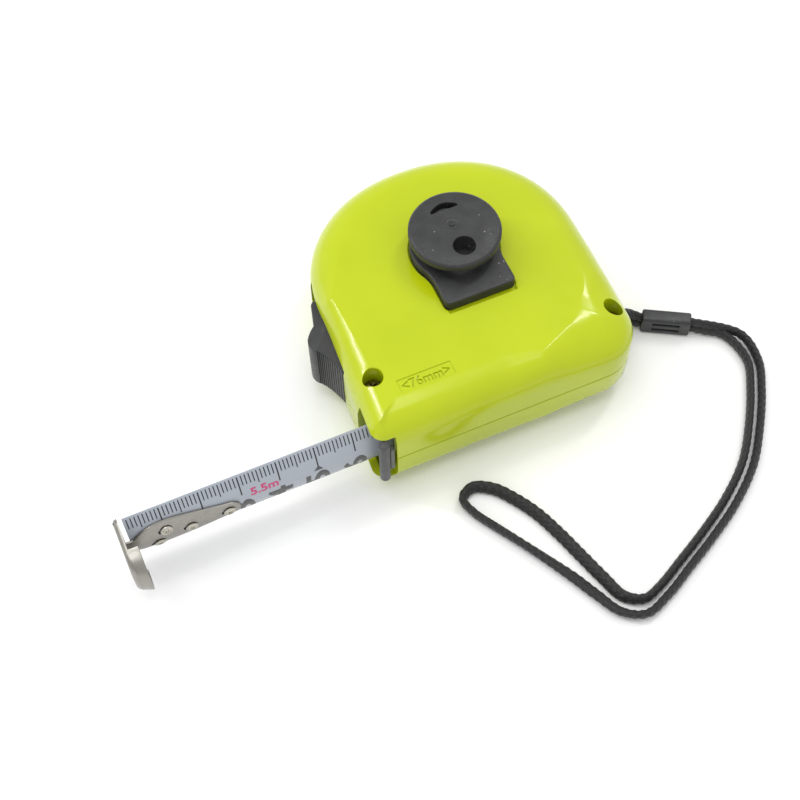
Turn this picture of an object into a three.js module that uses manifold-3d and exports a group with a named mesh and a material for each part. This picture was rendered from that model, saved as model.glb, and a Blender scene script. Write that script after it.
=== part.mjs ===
// A 5.5 m pocket tape measure with a 19 mm blade, lying on its side with its blade drawn out.
// Millimetres. +Z is the reel's axis, up from the side face that it lies on. +X runs from the
// mouth to the back of the case, so the blade is drawn out along -X. The foot faces -Y.
// The origin is on the reel's axis, in the side face at z = 0.

import * as THREE from 'three';
import { mergeVertices } from 'three/addons/utils/BufferGeometryUtils.js';
import Module from 'manifold-3d';

const wasm = await Module();
wasm.setup();

// Case
const CASE_THICKNESS = 29.5;
const MID_Z = CASE_THICKNESS / 2;
const WALL = 2;
const FOOT_Y = -43.5;
const DOME_X = -1.7;
const DOME_Y = -1.5;
const DOME_HALF_LENGTH = 36.8;
const DOME_HEIGHT = 34.8;
const DOME_POWER = 2.15;
const FOOT_FRONT_X = -41.9;
const CASE_LENGTH = 76;
const FOOT_REAR_X = FOOT_FRONT_X + CASE_LENGTH;
const FRONT_CORNER_RADIUS = 4.5;
const REAR_CORNER_RADIUS = 11;
const EDGE_RADIUS = 9;
const PARTING_GAP = 0.3;

// Mouth, cut through the front wall and on into the foot
const MOUTH_TOP_Y = -31.4;
const MOUTH_FOOT_X = -35.1;
const MOUTH_LOW_Z = 4.9;
const MOUTH_HIGH_Z = 24.6;
const BUMPER = { x: -38.4, y: -43.1, radius: 1.35, lowZ: 6.6, highZ: 24.3 };
const BUMPER_BLOCK = { low: [-36.9, -43.3, 10], high: [-35.6, -41.3, 19.5] };

// Lock button and its slot in the front wall
const LOCK_LOW_Z = 6.6;
const LOCK_HIGH_Z = 22.9;
const LOCK_SLOT_Y = [-19.6, 9.4];
const LOCK_SHIELD_X = [-35, -34];
const LOCK_SIDE_GAP = 0.3;
const THUMB_RIDGES = 9;
const THUMB_RIDGE_DEPTH = 0.35;

// Brake shoe inside the case, over the blade
const BRAKE_PAD = { low: [-33.6, -37.3, 10], high: [-29, -35, 19.5] };
const BRAKE_STEM = { low: [-32.8, -35.2, 12], high: [-29.2, -32.3, 17.5] };

// Case screws
const FRONT_SCREW = { x: -34.5, y: -27.2, headTop: 24.8, bossRadius: 3.4 };
const REAR_SCREW = { x: 30.2, y: -31.6, headTop: 21.8, bossRadius: 2.5 };
const SCREW_HEAD_RADIUS = 2.35;
const SCREW_HEAD_DEPTH = 2;
const SCREW_SHANK_RADIUS = 1.1;
const SCREW_HOLE_RADIUS = 2.65;
const SCREW_TIP_Z = 5;
const SCREW_SLOT_REACH = 1.4;
const SCREW_SLOT_HALF_WIDTH = 0.32;

// Strap: a flattish braided cord that mostly lies on its edge
const CORD_HALF_HEIGHT = 1.35;
const CORD_HALF_THICKNESS = 1.1;
const STRAP_NOTCH = { low: [30.5, -37.2, 9], high: [40, -23.5, MID_Z] };
const FERRULE = { x: 50.7, y: -29, angle: -Math.PI / 6, length: 13.2, width: 4, height: 6.5 };

// Holder stud on the upper side
const STUD_PLATE_LOW_Z = 28.5;
const STUD_PLATE_HIGH_Z = 31.9;
const STUD_DISC_LOW_Z = 35.6;
const STUD_TOP_Z = 38.2;
const STUD_DISC_RADIUS = 12;
const STUD_NECK_RADIUS = 5;
const STUD_PLATE_RADIUS = 11.8;
const STUD_PLATE_HALF_WIDTH = 9.8;
const STUD_PLATE_END_Y = -16.9;
const STUD_PLATE_CORNER = 1.4;
const STUD_RECESS_GAP = 0.4;
const STUD_HOLE = { x: 0, y: -5.85, radius: 2.9 };
const STUD_SLOT = { halfWidth: 3.8, lowY: 6.4, endY: 7.1, topY: 8.6, x: 0.2 };
const PRY_NOTCH_HALF_WIDTH = 4.4;

// Blade: an arc in section, convex towards the foot
const BLADE_RADIUS = 14;
const BLADE_HALF_ANGLE = THREE.MathUtils.degToRad(39);
const BLADE_THICKNESS = 0.25;
const BLADE_EDGE_Y = -35.9;
const BLADE_AXIS_Y = BLADE_EDGE_Y + BLADE_RADIUS * Math.cos(BLADE_HALF_ANGLE);
const BLADE_FRONT_X = -103.3;
const BLADE_INNER_X = -34;

// End hook and its rivets
const HOOK_ZERO_X = -104.4;
const HOOK_SHEET = 1.2;
const HOOK_GAP = 0.15;
const CLAW_HALF_WIDTH = 7.6;
const CLAW_TOP_Y = -43.8;
const CLAW_RIM_DEPTH = 2.6;
const LEAF_SHEET = 0.5;
const LEAF_END = 29;
const RIVET_RADIUS = 1.6;
const RIVET_SHANK_RADIUS = 0.8;
const HOOK_TRAVEL = 1;
const RIVETS = [
  { name: 'rivet_pair_upper', along: 10.1, angle: 0.14 },
  { name: 'rivet_pair_lower', along: 7.7, angle: -0.2 },
  { name: 'rivet_middle', along: 16.2, angle: -0.05 },
  { name: 'rivet_tail', along: 26, angle: -0.03 },
];

// Reel
const REEL_LOW_Z = 5.2;
const REEL_HIGH_Z = 24.3;
const AXLE_RADIUS = 2.4;
const HUB_RADIUS = 16.4;
const COIL_RADIUS = 24.5;
const REEL_CLEARANCE = 0.3;

const ARC_STEPS = 12;

// A distance that is well outside the case, for the blocks that cut it
const BEYOND = 60;

const materials = {
  case: new THREE.MeshStandardMaterial({ color: '#c3d62b', roughness: 0.25, metalness: 0 }),
  darkPlastic: new THREE.MeshStandardMaterial({ color: '#35363a', roughness: 0.6, metalness: 0 }),
  blackPlastic: new THREE.MeshStandardMaterial({ color: '#2b2c2c', roughness: 0.5, metalness: 0 }),
  greyPlastic: new THREE.MeshStandardMaterial({ color: '#5c5f57', roughness: 0.6, metalness: 0 }),
  reelPlastic: new THREE.MeshStandardMaterial({ color: '#d9d9d4', roughness: 0.5, metalness: 0 }),
  blade: new THREE.MeshStandardMaterial({ color: '#b4bac2', roughness: 0.35, metalness: 0.3 }),
  steel: new THREE.MeshStandardMaterial({ color: '#9a9791', roughness: 0.3, metalness: 0.9 }),
  spring: new THREE.MeshStandardMaterial({ color: '#5d6066', roughness: 0.4, metalness: 0.9 }),
  screw: new THREE.MeshStandardMaterial({ color: '#7b6b35', roughness: 0.35, metalness: 0.9 }),
  cord: new THREE.MeshStandardMaterial({ color: '#18181a', roughness: 0.8, metalness: 0 }),
};

// Booleans

function solid(geometry) {
  const plain = geometry.index ? geometry.clone() : geometry;
  plain.deleteAttribute('normal');
  plain.deleteAttribute('uv');
  const merged = mergeVertices(plain, 1e-5);
  return new wasm.Manifold(new wasm.Mesh({
    numProp: 3,
    vertProperties: new Float32Array(merged.attributes.position.array),
    triVerts: new Uint32Array(merged.index.array),
  }));
}

function geometryOf(shape) {
  const mesh = shape.getMesh();
  const geometry = new THREE.BufferGeometry();
  geometry.setAttribute('position', new THREE.BufferAttribute(mesh.vertProperties, 3));
  geometry.setIndex(new THREE.BufferAttribute(mesh.triVerts, 1));
  return geometry;
}

// Shapes, each returned as a solid

function block(low, high) {
  const size = high.map((value, i) => value - low[i]);
  const geometry = new THREE.BoxGeometry(...size);
  geometry.translate(...low.map((value, i) => value + size[i] / 2));
  return solid(geometry);
}

function upright(x, y, radius, lowZ, highZ, sides = 32) {
  const geometry = new THREE.CylinderGeometry(radius, radius, highZ - lowZ, sides);
  geometry.rotateX(Math.PI / 2);
  geometry.translate(x, y, (lowZ + highZ) / 2);
  return solid(geometry);
}

// A profile of [radius, z] pairs turned round the vertical line through x, y.
function turned(x, y, profile, sides = 36) {
  const points = profile.map(([radius, z]) => new THREE.Vector2(radius, z));
  const geometry = new THREE.LatheGeometry(points, sides);
  geometry.rotateX(Math.PI / 2);
  geometry.translate(x, y, 0);
  return solid(geometry);
}

function plate(outline, lowZ, highZ, curveSegments = ARC_STEPS) {
  const geometry = new THREE.ExtrudeGeometry(outline, {
    depth: highZ - lowZ,
    bevelEnabled: false,
    curveSegments,
  });
  geometry.translate(0, 0, lowZ);
  return solid(geometry);
}

// An outline drawn in (z, y) and extruded along +X from lowX to highX.
function acrossX(outline, lowX, highX, curveSegments = ARC_STEPS) {
  const geometry = new THREE.ExtrudeGeometry(outline, {
    depth: highX - lowX,
    bevelEnabled: false,
    curveSegments,
  });
  geometry.applyMatrix4(new THREE.Matrix4().makeBasis(
    new THREE.Vector3(0, 0, 1),
    new THREE.Vector3(0, 1, 0),
    new THREE.Vector3(-1, 0, 0),
  ));
  geometry.translate(highX, 0, 0);
  return solid(geometry);
}

// A cord along a nearly level route. The section's first axis stands upright along such a route.
function cordSolid(points, steps) {
  const corners = points.map((point) => new THREE.Vector3(...point));
  const curve = new THREE.CatmullRomCurve3(corners, false, 'centripetal');
  const section = new THREE.Shape();
  section.absellipse(0, 0, CORD_HALF_HEIGHT, CORD_HALF_THICKNESS, 0, 2 * Math.PI);
  return solid(new THREE.ExtrudeGeometry(section, { steps, curveSegments: 8, extrudePath: curve }));
}

// Case: the side outline, a superellipse dome over two slightly flared sides and a flat foot,
// moved in by inset all round.

function caseOutline(inset) {
  const points = [];
  const domeSteps = 36;
  for (let i = 0; i <= domeSteps; i += 1) {
    const angle = (Math.PI * i) / domeSteps;
    const across = Math.sign(Math.cos(angle)) * Math.abs(Math.cos(angle)) ** (2 / DOME_POWER);
    const up = Math.sin(angle) ** (2 / DOME_POWER);
    points.push([
      DOME_X + (DOME_HALF_LENGTH - inset) * across,
      DOME_Y + (DOME_HEIGHT - inset) * up,
    ]);
  }
  const frontRadius = Math.max(FRONT_CORNER_RADIUS - inset, 0.6);
  const rearRadius = Math.max(REAR_CORNER_RADIUS - inset, 0.6);
  const corners = [
    [FOOT_FRONT_X + inset + frontRadius, frontRadius, Math.PI, 8],
    [FOOT_REAR_X - inset - rearRadius, rearRadius, 1.5 * Math.PI, 12],
  ];
  for (const [x, radius, start, steps] of corners) {
    for (let i = 0; i <= steps; i += 1) {
      const angle = start + (0.5 * Math.PI * i) / steps;
      points.push([x + radius * Math.cos(angle), FOOT_Y + inset + radius * (1 + Math.sin(angle))]);
    }
  }
  return points;
}

// The rounded case body, or the cavity inside it when inset is the wall's thickness.
function caseBody(inset) {
  const radius = EDGE_RADIUS - inset;
  const edgeSteps = 5;
  const levels = [];
  for (let i = 0; i <= edgeSteps; i += 1) {
    const angle = (0.5 * Math.PI * i) / edgeSteps;
    levels.push([inset + radius * (1 - Math.cos(angle)), EDGE_RADIUS - radius * Math.sin(angle)]);
  }
  const rings = [
    ...levels.toReversed(),
    ...levels.map(([ringInset, z]) => [ringInset, CASE_THICKNESS - z]),
  ];
  const positions = [];
  for (const [ringInset, z] of rings) {
    for (const [x, y] of caseOutline(ringInset)) {
      positions.push(x, y, z);
    }
  }
  const count = caseOutline(0).length;
  const centres = [rings[0][1], rings.at(-1)[1]];
  for (const z of centres) {
    positions.push(DOME_X, -6, z);
  }
  const lowCentre = rings.length * count;
  const indices = [];
  for (let i = 0; i < count; i += 1) {
    const next = (i + 1) % count;
    for (let ring = 0; ring < rings.length - 1; ring += 1) {
      const a = ring * count;
      const b = a + count;
      indices.push(a + i, a + next, b + next, a + i, b + next, b + i);
    }
    const top = (rings.length - 1) * count;
    indices.push(lowCentre, next, i);
    indices.push(lowCentre + 1, top + i, top + next);
  }
  const geometry = new THREE.BufferGeometry();
  geometry.setAttribute('position', new THREE.Float32BufferAttribute(positions, 3));
  geometry.setIndex(indices);
  return solid(geometry);
}

// The stud plate seen from above, moved out by grow: a disc that narrows to a straight tab.
function studPlateOutline(grow) {
  const radius = STUD_PLATE_RADIUS + grow;
  const halfWidth = STUD_PLATE_HALF_WIDTH + grow;
  const endY = STUD_PLATE_END_Y - grow;
  const corner = STUD_PLATE_CORNER;
  const tabTopY = -9.5;
  const shoulder = Math.PI * 0.12;
  const outline = new THREE.Shape();
  outline.absarc(0, 0, radius, -shoulder, Math.PI + shoulder);
  outline.quadraticCurveTo(-halfWidth, -6.6, -halfWidth, tabTopY);
  outline.lineTo(-halfWidth, endY + corner);
  outline.absarc(-halfWidth + corner, endY + corner, corner, Math.PI, 1.5 * Math.PI);
  outline.absarc(halfWidth - corner, endY + corner, corner, 1.5 * Math.PI, 2 * Math.PI);
  outline.lineTo(halfWidth, tabTopY);
  outline.quadraticCurveTo(halfWidth, -6.6, radius * Math.cos(shoulder), -radius * Math.sin(shoulder));
  outline.closePath();
  return outline;
}

function caseShells() {
  const body = caseBody(0);
  const cavity = caseBody(WALL);
  const mouth = block([-BEYOND, -BEYOND, MOUTH_LOW_Z], [MOUTH_FOOT_X, MOUTH_TOP_Y, MOUTH_HIGH_Z]);
  const lockSlot = block(
    [-BEYOND, LOCK_SLOT_Y[0], LOCK_LOW_Z - LOCK_SIDE_GAP],
    [-32, LOCK_SLOT_Y[1], LOCK_HIGH_Z + LOCK_SIDE_GAP],
  );
  const hollow = body.subtract(cavity);
  const upperHalf = block([-BEYOND, -BEYOND, MID_Z + PARTING_GAP / 2], [BEYOND, BEYOND, BEYOND]);
  const lowerHalf = block([-BEYOND, -BEYOND, -BEYOND], [BEYOND, BEYOND, MID_Z - PARTING_GAP / 2]);

  let bosses = null;
  for (const { x, y, bossRadius, headTop } of [FRONT_SCREW, REAR_SCREW]) {
    const lower = upright(x, y, bossRadius, 1, MID_Z);
    const upper = upright(x, y, bossRadius, MID_Z, headTop - 5);
    const seat = upright(x, y, SCREW_HOLE_RADIUS + 1.6, headTop - 5.5, CASE_THICKNESS);
    const boss = lower.add(upper).add(seat).intersect(body);
    bosses = bosses ? bosses.add(boss) : boss;
  }
  let whole = hollow.add(bosses).subtract(mouth).subtract(lockSlot);
  for (const { x, y, headTop } of [FRONT_SCREW, REAR_SCREW]) {
    const headFloor = headTop - SCREW_HEAD_DEPTH - 0.3;
    whole = whole.subtract(upright(x, y, SCREW_HOLE_RADIUS, headFloor, BEYOND));
    whole = whole.subtract(upright(x, y, SCREW_SHANK_RADIUS + 0.3, SCREW_TIP_Z - 1, BEYOND, 20));
  }
  const recess = plate(studPlateOutline(STUD_RECESS_GAP), STUD_PLATE_LOW_Z, BEYOND, 16);
  const pryNotch = block(
    [-PRY_NOTCH_HALF_WIDTH, STUD_PLATE_END_Y - 2, STUD_PLATE_LOW_Z],
    [PRY_NOTCH_HALF_WIDTH, STUD_PLATE_END_Y + 1, BEYOND],
  );
  whole = whole.subtract(recess).subtract(pryNotch);

  const notch = block(STRAP_NOTCH.low, STRAP_NOTCH.high);
  const notchPost = upright(REAR_SCREW.x, REAR_SCREW.y, REAR_SCREW.bossRadius, 0, MID_Z);
  const lower = whole.intersect(lowerHalf).subtract(notch.subtract(notchPost));
  return { upper: whole.intersect(upperHalf), lower };
}

// A countersunk case screw with a cross recess.
function caseScrew({ x, y, headTop }) {
  const neck = headTop - SCREW_HEAD_DEPTH;
  const screw = turned(x, y, [
    [0, SCREW_TIP_Z],
    [SCREW_SHANK_RADIUS, SCREW_TIP_Z + 1.2],
    [SCREW_SHANK_RADIUS, neck],
    [SCREW_HEAD_RADIUS, neck],
    [SCREW_HEAD_RADIUS, headTop - 0.7],
    [SCREW_HEAD_RADIUS - 0.9, headTop - 0.1],
    [0, headTop],
  ], 24);
  const reach = SCREW_SLOT_REACH;
  const half = SCREW_SLOT_HALF_WIDTH;
  const floorZ = headTop - 1.1;
  const slotAlongX = block([x - reach, y - half, floorZ], [x + reach, y + half, headTop + 1]);
  const slotAlongY = block([x - half, y - reach, floorZ], [x + half, y + reach, headTop + 1]);
  return screw.subtract(slotAlongX).subtract(slotAlongY);
}

// Lock button: its side outline, with thumb ridges across its lower slope.
function lockButton() {
  const outline = new THREE.Shape();
  outline.moveTo(LOCK_SHIELD_X[1], 3.6);
  outline.lineTo(-39.1, 3.8);
  outline.lineTo(-41.1, -3.2);
  outline.quadraticCurveTo(-43.2, -4.8, -44.1, -6.6);
  outline.quadraticCurveTo(-44.9, -8.6, -43.7, -10.3);
  const ridgeTop = new THREE.Vector2(-43.7, -10.3);
  const ridgeMiddle = new THREE.Vector2(-41.4, -12.4);
  const ridgeEnd = new THREE.Vector2(-39.4, -19.2);
  const slope = new THREE.QuadraticBezierCurve(ridgeTop, ridgeMiddle, ridgeEnd);
  for (let i = 1; i <= 2 * THUMB_RIDGES; i += 1) {
    const point = slope.getPoint(i / (2 * THUMB_RIDGES));
    const inward = i % 2 ? THUMB_RIDGE_DEPTH : 0;
    outline.lineTo(point.x + inward, point.y + inward * 0.4);
  }
  outline.lineTo(LOCK_SHIELD_X[1], -19.2);
  outline.closePath();
  const button = plate(outline, LOCK_LOW_Z, LOCK_HIGH_Z, 5);
  const shield = block(
    [LOCK_SHIELD_X[0], -21.3, LOCK_LOW_Z - 1.2],
    [LOCK_SHIELD_X[1], -1, LOCK_HIGH_Z + 1.2],
  );
  return button.add(shield);
}

function mouthBumper() {
  const { x, y, radius, lowZ, highZ } = BUMPER;
  return upright(x, y, radius, lowZ, highZ, 20);
}

function brakeShoe() {
  const pad = block(BRAKE_PAD.low, BRAKE_PAD.high);
  return pad.add(block(BRAKE_STEM.low, BRAKE_STEM.high));
}

// Holder stud

function studPlate() {
  return plate(studPlateOutline(0), STUD_PLATE_LOW_Z, STUD_PLATE_HIGH_Z, 16);
}

function studHole(lowZ) {
  return upright(STUD_HOLE.x, STUD_HOLE.y, STUD_HOLE.radius, lowZ, BEYOND, 28);
}

function studNeck() {
  return upright(0, 0, STUD_NECK_RADIUS, STUD_PLATE_HIGH_Z, STUD_DISC_LOW_Z, 36)
    .subtract(studHole(STUD_PLATE_HIGH_Z + 0.6));
}

function studDisc() {
  const disc = turned(0, 0, [
    [0, STUD_DISC_LOW_Z],
    [STUD_DISC_RADIUS - 0.7, STUD_DISC_LOW_Z],
    [STUD_DISC_RADIUS, STUD_DISC_LOW_Z + 0.6],
    [STUD_DISC_RADIUS, STUD_TOP_Z - 0.5],
    [STUD_DISC_RADIUS - 0.4, STUD_TOP_Z],
    [0, STUD_TOP_Z],
  ], 56);
  const { halfWidth, lowY, endY, topY, x } = STUD_SLOT;
  const slot = new THREE.Shape();
  slot.moveTo(x - halfWidth + 0.4, lowY);
  slot.lineTo(x + halfWidth - 0.4, lowY);
  slot.quadraticCurveTo(x + halfWidth + 0.3, endY - 0.3, x + halfWidth, endY + 0.2);
  slot.quadraticCurveTo(x, 2 * topY - endY - 0.2, x - halfWidth, endY + 0.2);
  slot.quadraticCurveTo(x - halfWidth - 0.3, endY - 0.3, x - halfWidth + 0.4, lowY);
  slot.closePath();
  const slotCut = plate(slot, STUD_DISC_LOW_Z - 1, STUD_TOP_Z + 1, 10);
  return disc.subtract(studHole(STUD_DISC_LOW_Z - 1)).subtract(slotCut);
}

// Blade and hook. Sections are drawn in (z, y) round the blade's centre of curvature.

function arcBand(outerRadius, innerRadius, lowAngle, highAngle) {
  const band = new THREE.Shape();
  const down = -0.5 * Math.PI;
  band.absarc(MID_Z, BLADE_AXIS_Y, outerRadius, down + lowAngle, down + highAngle, false);
  band.absarc(MID_Z, BLADE_AXIS_Y, innerRadius, down + highAngle, down + lowAngle, true);
  band.closePath();
  return band;
}

// A rod at right angles to the blade's face, centred along the blade at x, turned by angle.
function bladePin(x, angle, radius, lowRadius, highRadius, sides) {
  const geometry = new THREE.CylinderGeometry(radius, radius, highRadius - lowRadius, sides);
  geometry.translate(0, -(lowRadius + highRadius) / 2, 0);
  geometry.rotateX(-angle);
  geometry.translate(x, BLADE_AXIS_Y, MID_Z);
  return solid(geometry);
}

function bladeStrip() {
  const inner = BLADE_RADIUS - BLADE_THICKNESS;
  const section = arcBand(BLADE_RADIUS, inner, -BLADE_HALF_ANGLE, BLADE_HALF_ANGLE);
  let strip = acrossX(section, BLADE_FRONT_X, BLADE_INNER_X, 18);
  for (const { along, angle } of RIVETS) {
    const x = HOOK_ZERO_X + along;
    strip = strip.subtract(bladePin(x, angle, RIVET_SHANK_RADIUS + 0.3, inner - 2, BLADE_RADIUS + 2, 16));
  }
  return strip;
}

// The leaf seen square on: a narrow neck at the claw, a full belly and a tapering tail.
function leafOutline() {
  const neck = 2.6;
  const belly = 5.5;
  const tail = 2.9;
  const x = (along) => HOOK_ZERO_X + along;
  const outline = new THREE.Shape();
  outline.moveTo(x(-0.4), -neck);
  outline.lineTo(x(1.8), -neck);
  outline.quadraticCurveTo(x(4.6), -belly, x(10), -belly);
  outline.bezierCurveTo(x(14), -belly, x(19), -tail - 1.2, x(LEAF_END - 3.5), -tail);
  outline.quadraticCurveTo(x(LEAF_END), -tail + 0.4, x(LEAF_END), 0);
  outline.quadraticCurveTo(x(LEAF_END), tail - 0.4, x(LEAF_END - 3.5), tail);
  outline.bezierCurveTo(x(19), tail + 1.2, x(14), belly, x(10), belly);
  outline.quadraticCurveTo(x(4.6), belly, x(1.8), neck);
  outline.lineTo(x(-0.4), neck);
  outline.closePath();
  return outline;
}

// The claw's outline in (z, y): straight sides from topY and a round lower end.
function clawOutline(halfWidth, topY) {
  const outline = new THREE.Shape();
  outline.moveTo(MID_Z + halfWidth, topY);
  outline.absarc(MID_Z, CLAW_TOP_Y, halfWidth, 0, -Math.PI, true);
  outline.lineTo(MID_Z - halfWidth, topY);
  outline.closePath();
  return outline;
}

// The claw's front plate in (z, y): the blade's end arc above, tapering sides, round below.
function clawFrontOutline() {
  const arcRadius = BLADE_RADIUS - 0.7;
  const arcEnd = BLADE_HALF_ANGLE + 0.02;
  const down = -0.5 * Math.PI;
  const outline = new THREE.Shape();
  outline.absarc(MID_Z, BLADE_AXIS_Y, arcRadius, down + arcEnd, down - arcEnd, true);
  outline.lineTo(MID_Z - 9.3, BLADE_EDGE_Y - 0.8);
  outline.lineTo(MID_Z - CLAW_HALF_WIDTH, CLAW_TOP_Y);
  outline.absarc(MID_Z, CLAW_TOP_Y, CLAW_HALF_WIDTH, Math.PI, 2 * Math.PI, false);
  outline.lineTo(MID_Z + 9.3, BLADE_EDGE_Y - 0.8);
  outline.closePath();
  return outline;
}

function endHook() {
  const leafRadius = BLADE_RADIUS + HOOK_GAP;
  const leafBand = arcBand(leafRadius + LEAF_SHEET, leafRadius, -0.6, 0.6);
  const sheet = acrossX(leafBand, HOOK_ZERO_X - 0.5, HOOK_ZERO_X + LEAF_END, 18);
  const leafPrism = new THREE.ExtrudeGeometry(leafOutline(), {
    depth: 20,
    bevelEnabled: false,
    curveSegments: 8,
  });
  leafPrism.rotateX(Math.PI / 2);
  leafPrism.translate(0, BLADE_AXIS_Y - 5, MID_Z);
  let leaf = sheet.intersect(solid(leafPrism));
  // Each rivet's hole is a slot, as long as the hook's travel.
  for (const { along, angle } of RIVETS) {
    for (const share of [0, 0.25, 0.5, 0.75, 1]) {
      const x = HOOK_ZERO_X + along - HOOK_TRAVEL * share;
      leaf = leaf.subtract(bladePin(x, angle, RIVET_SHANK_RADIUS + 0.25, 12, 17, 16));
    }
  }

  const outerX = HOOK_ZERO_X - HOOK_SHEET;
  const front = acrossX(clawFrontOutline(), outerX, HOOK_ZERO_X, 20);
  const rimX = HOOK_ZERO_X + CLAW_RIM_DEPTH;
  const rimOuter = acrossX(clawOutline(CLAW_HALF_WIDTH, CLAW_TOP_Y), outerX, rimX, 20);
  const innerOutline = clawOutline(CLAW_HALF_WIDTH - HOOK_SHEET, CLAW_TOP_Y + 1);
  const rimInner = acrossX(innerOutline, HOOK_ZERO_X - 0.01, rimX + 1, 20);
  return front.add(rimOuter.subtract(rimInner)).add(leaf);
}

function rivet({ along, angle }) {
  const x = HOOK_ZERO_X + along;
  const headLow = BLADE_RADIUS + HOOK_GAP + LEAF_SHEET + 0.1;
  const inner = BLADE_RADIUS - BLADE_THICKNESS;
  const head = bladePin(x, angle, RIVET_RADIUS, headLow, headLow + 0.35, 16);
  const crown = bladePin(x, angle, RIVET_RADIUS - 0.5, headLow, headLow + 0.5, 16);
  const shank = bladePin(x, angle, RIVET_SHANK_RADIUS, inner - 0.4, headLow + 0.1, 12);
  const tail = bladePin(x, angle, 1.3, inner - 0.6, inner - 0.3, 12);
  return head.add(crown).add(shank).add(tail);
}

// Reel

function ring(innerRadius, outerRadius, lowZ, highZ, sides = 36) {
  return turned(0, 0, [
    [innerRadius, lowZ],
    [outerRadius, lowZ],
    [outerRadius, highZ],
    [innerRadius, highZ],
    [innerRadius, lowZ],
  ], sides);
}

function reelDrum() {
  const bore = AXLE_RADIUS + REEL_CLEARANCE;
  return turned(0, 0, [
    [bore, REEL_LOW_Z],
    [HUB_RADIUS, REEL_LOW_Z],
    [HUB_RADIUS, REEL_HIGH_Z - 1],
    [HUB_RADIUS - 1.2, REEL_HIGH_Z - 1],
    [HUB_RADIUS - 1.2, REEL_LOW_Z + 1],
    [bore, REEL_LOW_Z + 1],
    [bore, REEL_LOW_Z],
  ]);
}

function reelCover() {
  return ring(AXLE_RADIUS + REEL_CLEARANCE, HUB_RADIUS, REEL_HIGH_Z - 0.9, REEL_HIGH_Z);
}

function returnSpring() {
  return ring(AXLE_RADIUS + 1.5, HUB_RADIUS - 2, REEL_LOW_Z + 1.3, REEL_HIGH_Z - 1.3);
}

function bladeCoil() {
  return ring(HUB_RADIUS + 0.3, COIL_RADIUS, REEL_LOW_Z + 0.5, REEL_HIGH_Z - 0.5);
}

// Strap ferrule: a block with rounded long edges and two shallow slots in its near side.
function ferrule() {
  const { x, y, angle, length, width, height } = FERRULE;
  const outline = new THREE.Shape();
  const radius = 0.7;
  const halfWidth = width / 2;
  outline.absarc(halfWidth - radius, radius, radius, -0.5 * Math.PI, 0);
  outline.absarc(halfWidth - radius, height - radius, radius, 0, 0.5 * Math.PI);
  outline.absarc(-halfWidth + radius, height - radius, radius, 0.5 * Math.PI, Math.PI);
  outline.absarc(-halfWidth + radius, radius, radius, Math.PI, 1.5 * Math.PI);
  outline.closePath();
  const geometry = new THREE.ExtrudeGeometry(outline, {
    depth: length,
    bevelEnabled: false,
    curveSegments: 4,
  });
  geometry.translate(0, 0, -length / 2);
  geometry.rotateX(Math.PI / 2);
  geometry.rotateZ(0.5 * Math.PI);
  let body = solid(geometry);
  for (const slotZ of [2.1, 4.4]) {
    const low = [-3.6, -halfWidth - 1, slotZ - 0.55];
    const high = [3.6, -halfWidth + 0.8, slotZ + 0.55];
    body = body.subtract(block(low, high));
  }
  const placed = geometryOf(body);
  placed.rotateZ(angle);
  placed.translate(x, y, 0);
  return solid(placed);
}

// Strap routes: the long strand goes out from the ferrule, round the hand loop and back.
const STRAP_ROUTE = [
  [57.1, -33.0, 1.9], [60.0, -35.0, 1.8], [63.2, -37.3, 1.8], [65.2, -41.8, 1.8], [65.4, -48.4, 1.8],
  [61.9, -55.8, 1.8], [56.1, -64.9, 1.8], [48.8, -74.0, 1.8], [39.6, -81.3, 1.8], [30.0, -87.0, 1.8],
  [20.9, -91.7, 1.8], [12.1, -96.0, 1.8], [7.6, -97.2, 1.8], [3.2, -94.6, 1.7], [0.9, -88.2, 1.5],
  [-1.4, -80.6, 1.5], [-3.7, -73.0, 1.5], [-6.4, -65.7, 1.5], [-9.9, -59.6, 1.6], [-13.6, -55.0, 1.7],
  [-18.4, -52.6, 1.8], [-21.9, -54.6, 1.8], [-20.9, -59.2, 1.8], [-17.6, -65.0, 1.8], [-13.8, -71.2, 1.8],
  [-9.5, -78.4, 1.6], [-5.6, -85.4, 1.5], [-2.6, -91.6, 1.5], [0.8, -97.9, 1.7], [6.2, -100.9, 1.8],
  [13.2, -98.8, 1.8], [22.1, -94.3, 1.8], [31.2, -89.6, 1.8], [41.1, -83.8, 1.8], [50.8, -76.1, 1.8],
  [58.3, -66.8, 1.8], [64.4, -57.4, 1.8], [68.2, -49.2, 1.9], [67.8, -40.4, 2.5], [57.0, -32.8, 4.7],
];
// The short strand goes from the ferrule round the rear screw's boss and back.
const ANCHOR_ROUTE = [
  [44.4, -25.4, 4.9], [42.3, -24.4, 5.9], [39.6, -24.5, 8.2], [36.2, -25.8, 10.6], [32.6, -27.7, 11.2],
  [29.0, -27.5, 11.2], [26.6, -29.6, 11.2], [26.4, -32.6, 11.2], [28.4, -35.1, 11.2], [31.6, -35.4, 11.2],
  [34.4, -33.2, 11.2], [36.8, -30.6, 9.6], [38.8, -27.8, 6.4], [40.6, -25.4, 3.6], [42.7, -24.5, 2.2],
  [44.4, -25.4, 1.9],
];

const group = new THREE.Group();

function add(name, shape, material) {
  const mesh = new THREE.Mesh(geometryOf(shape), material.clone());
  mesh.name = name;
  group.add(mesh);
}

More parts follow.
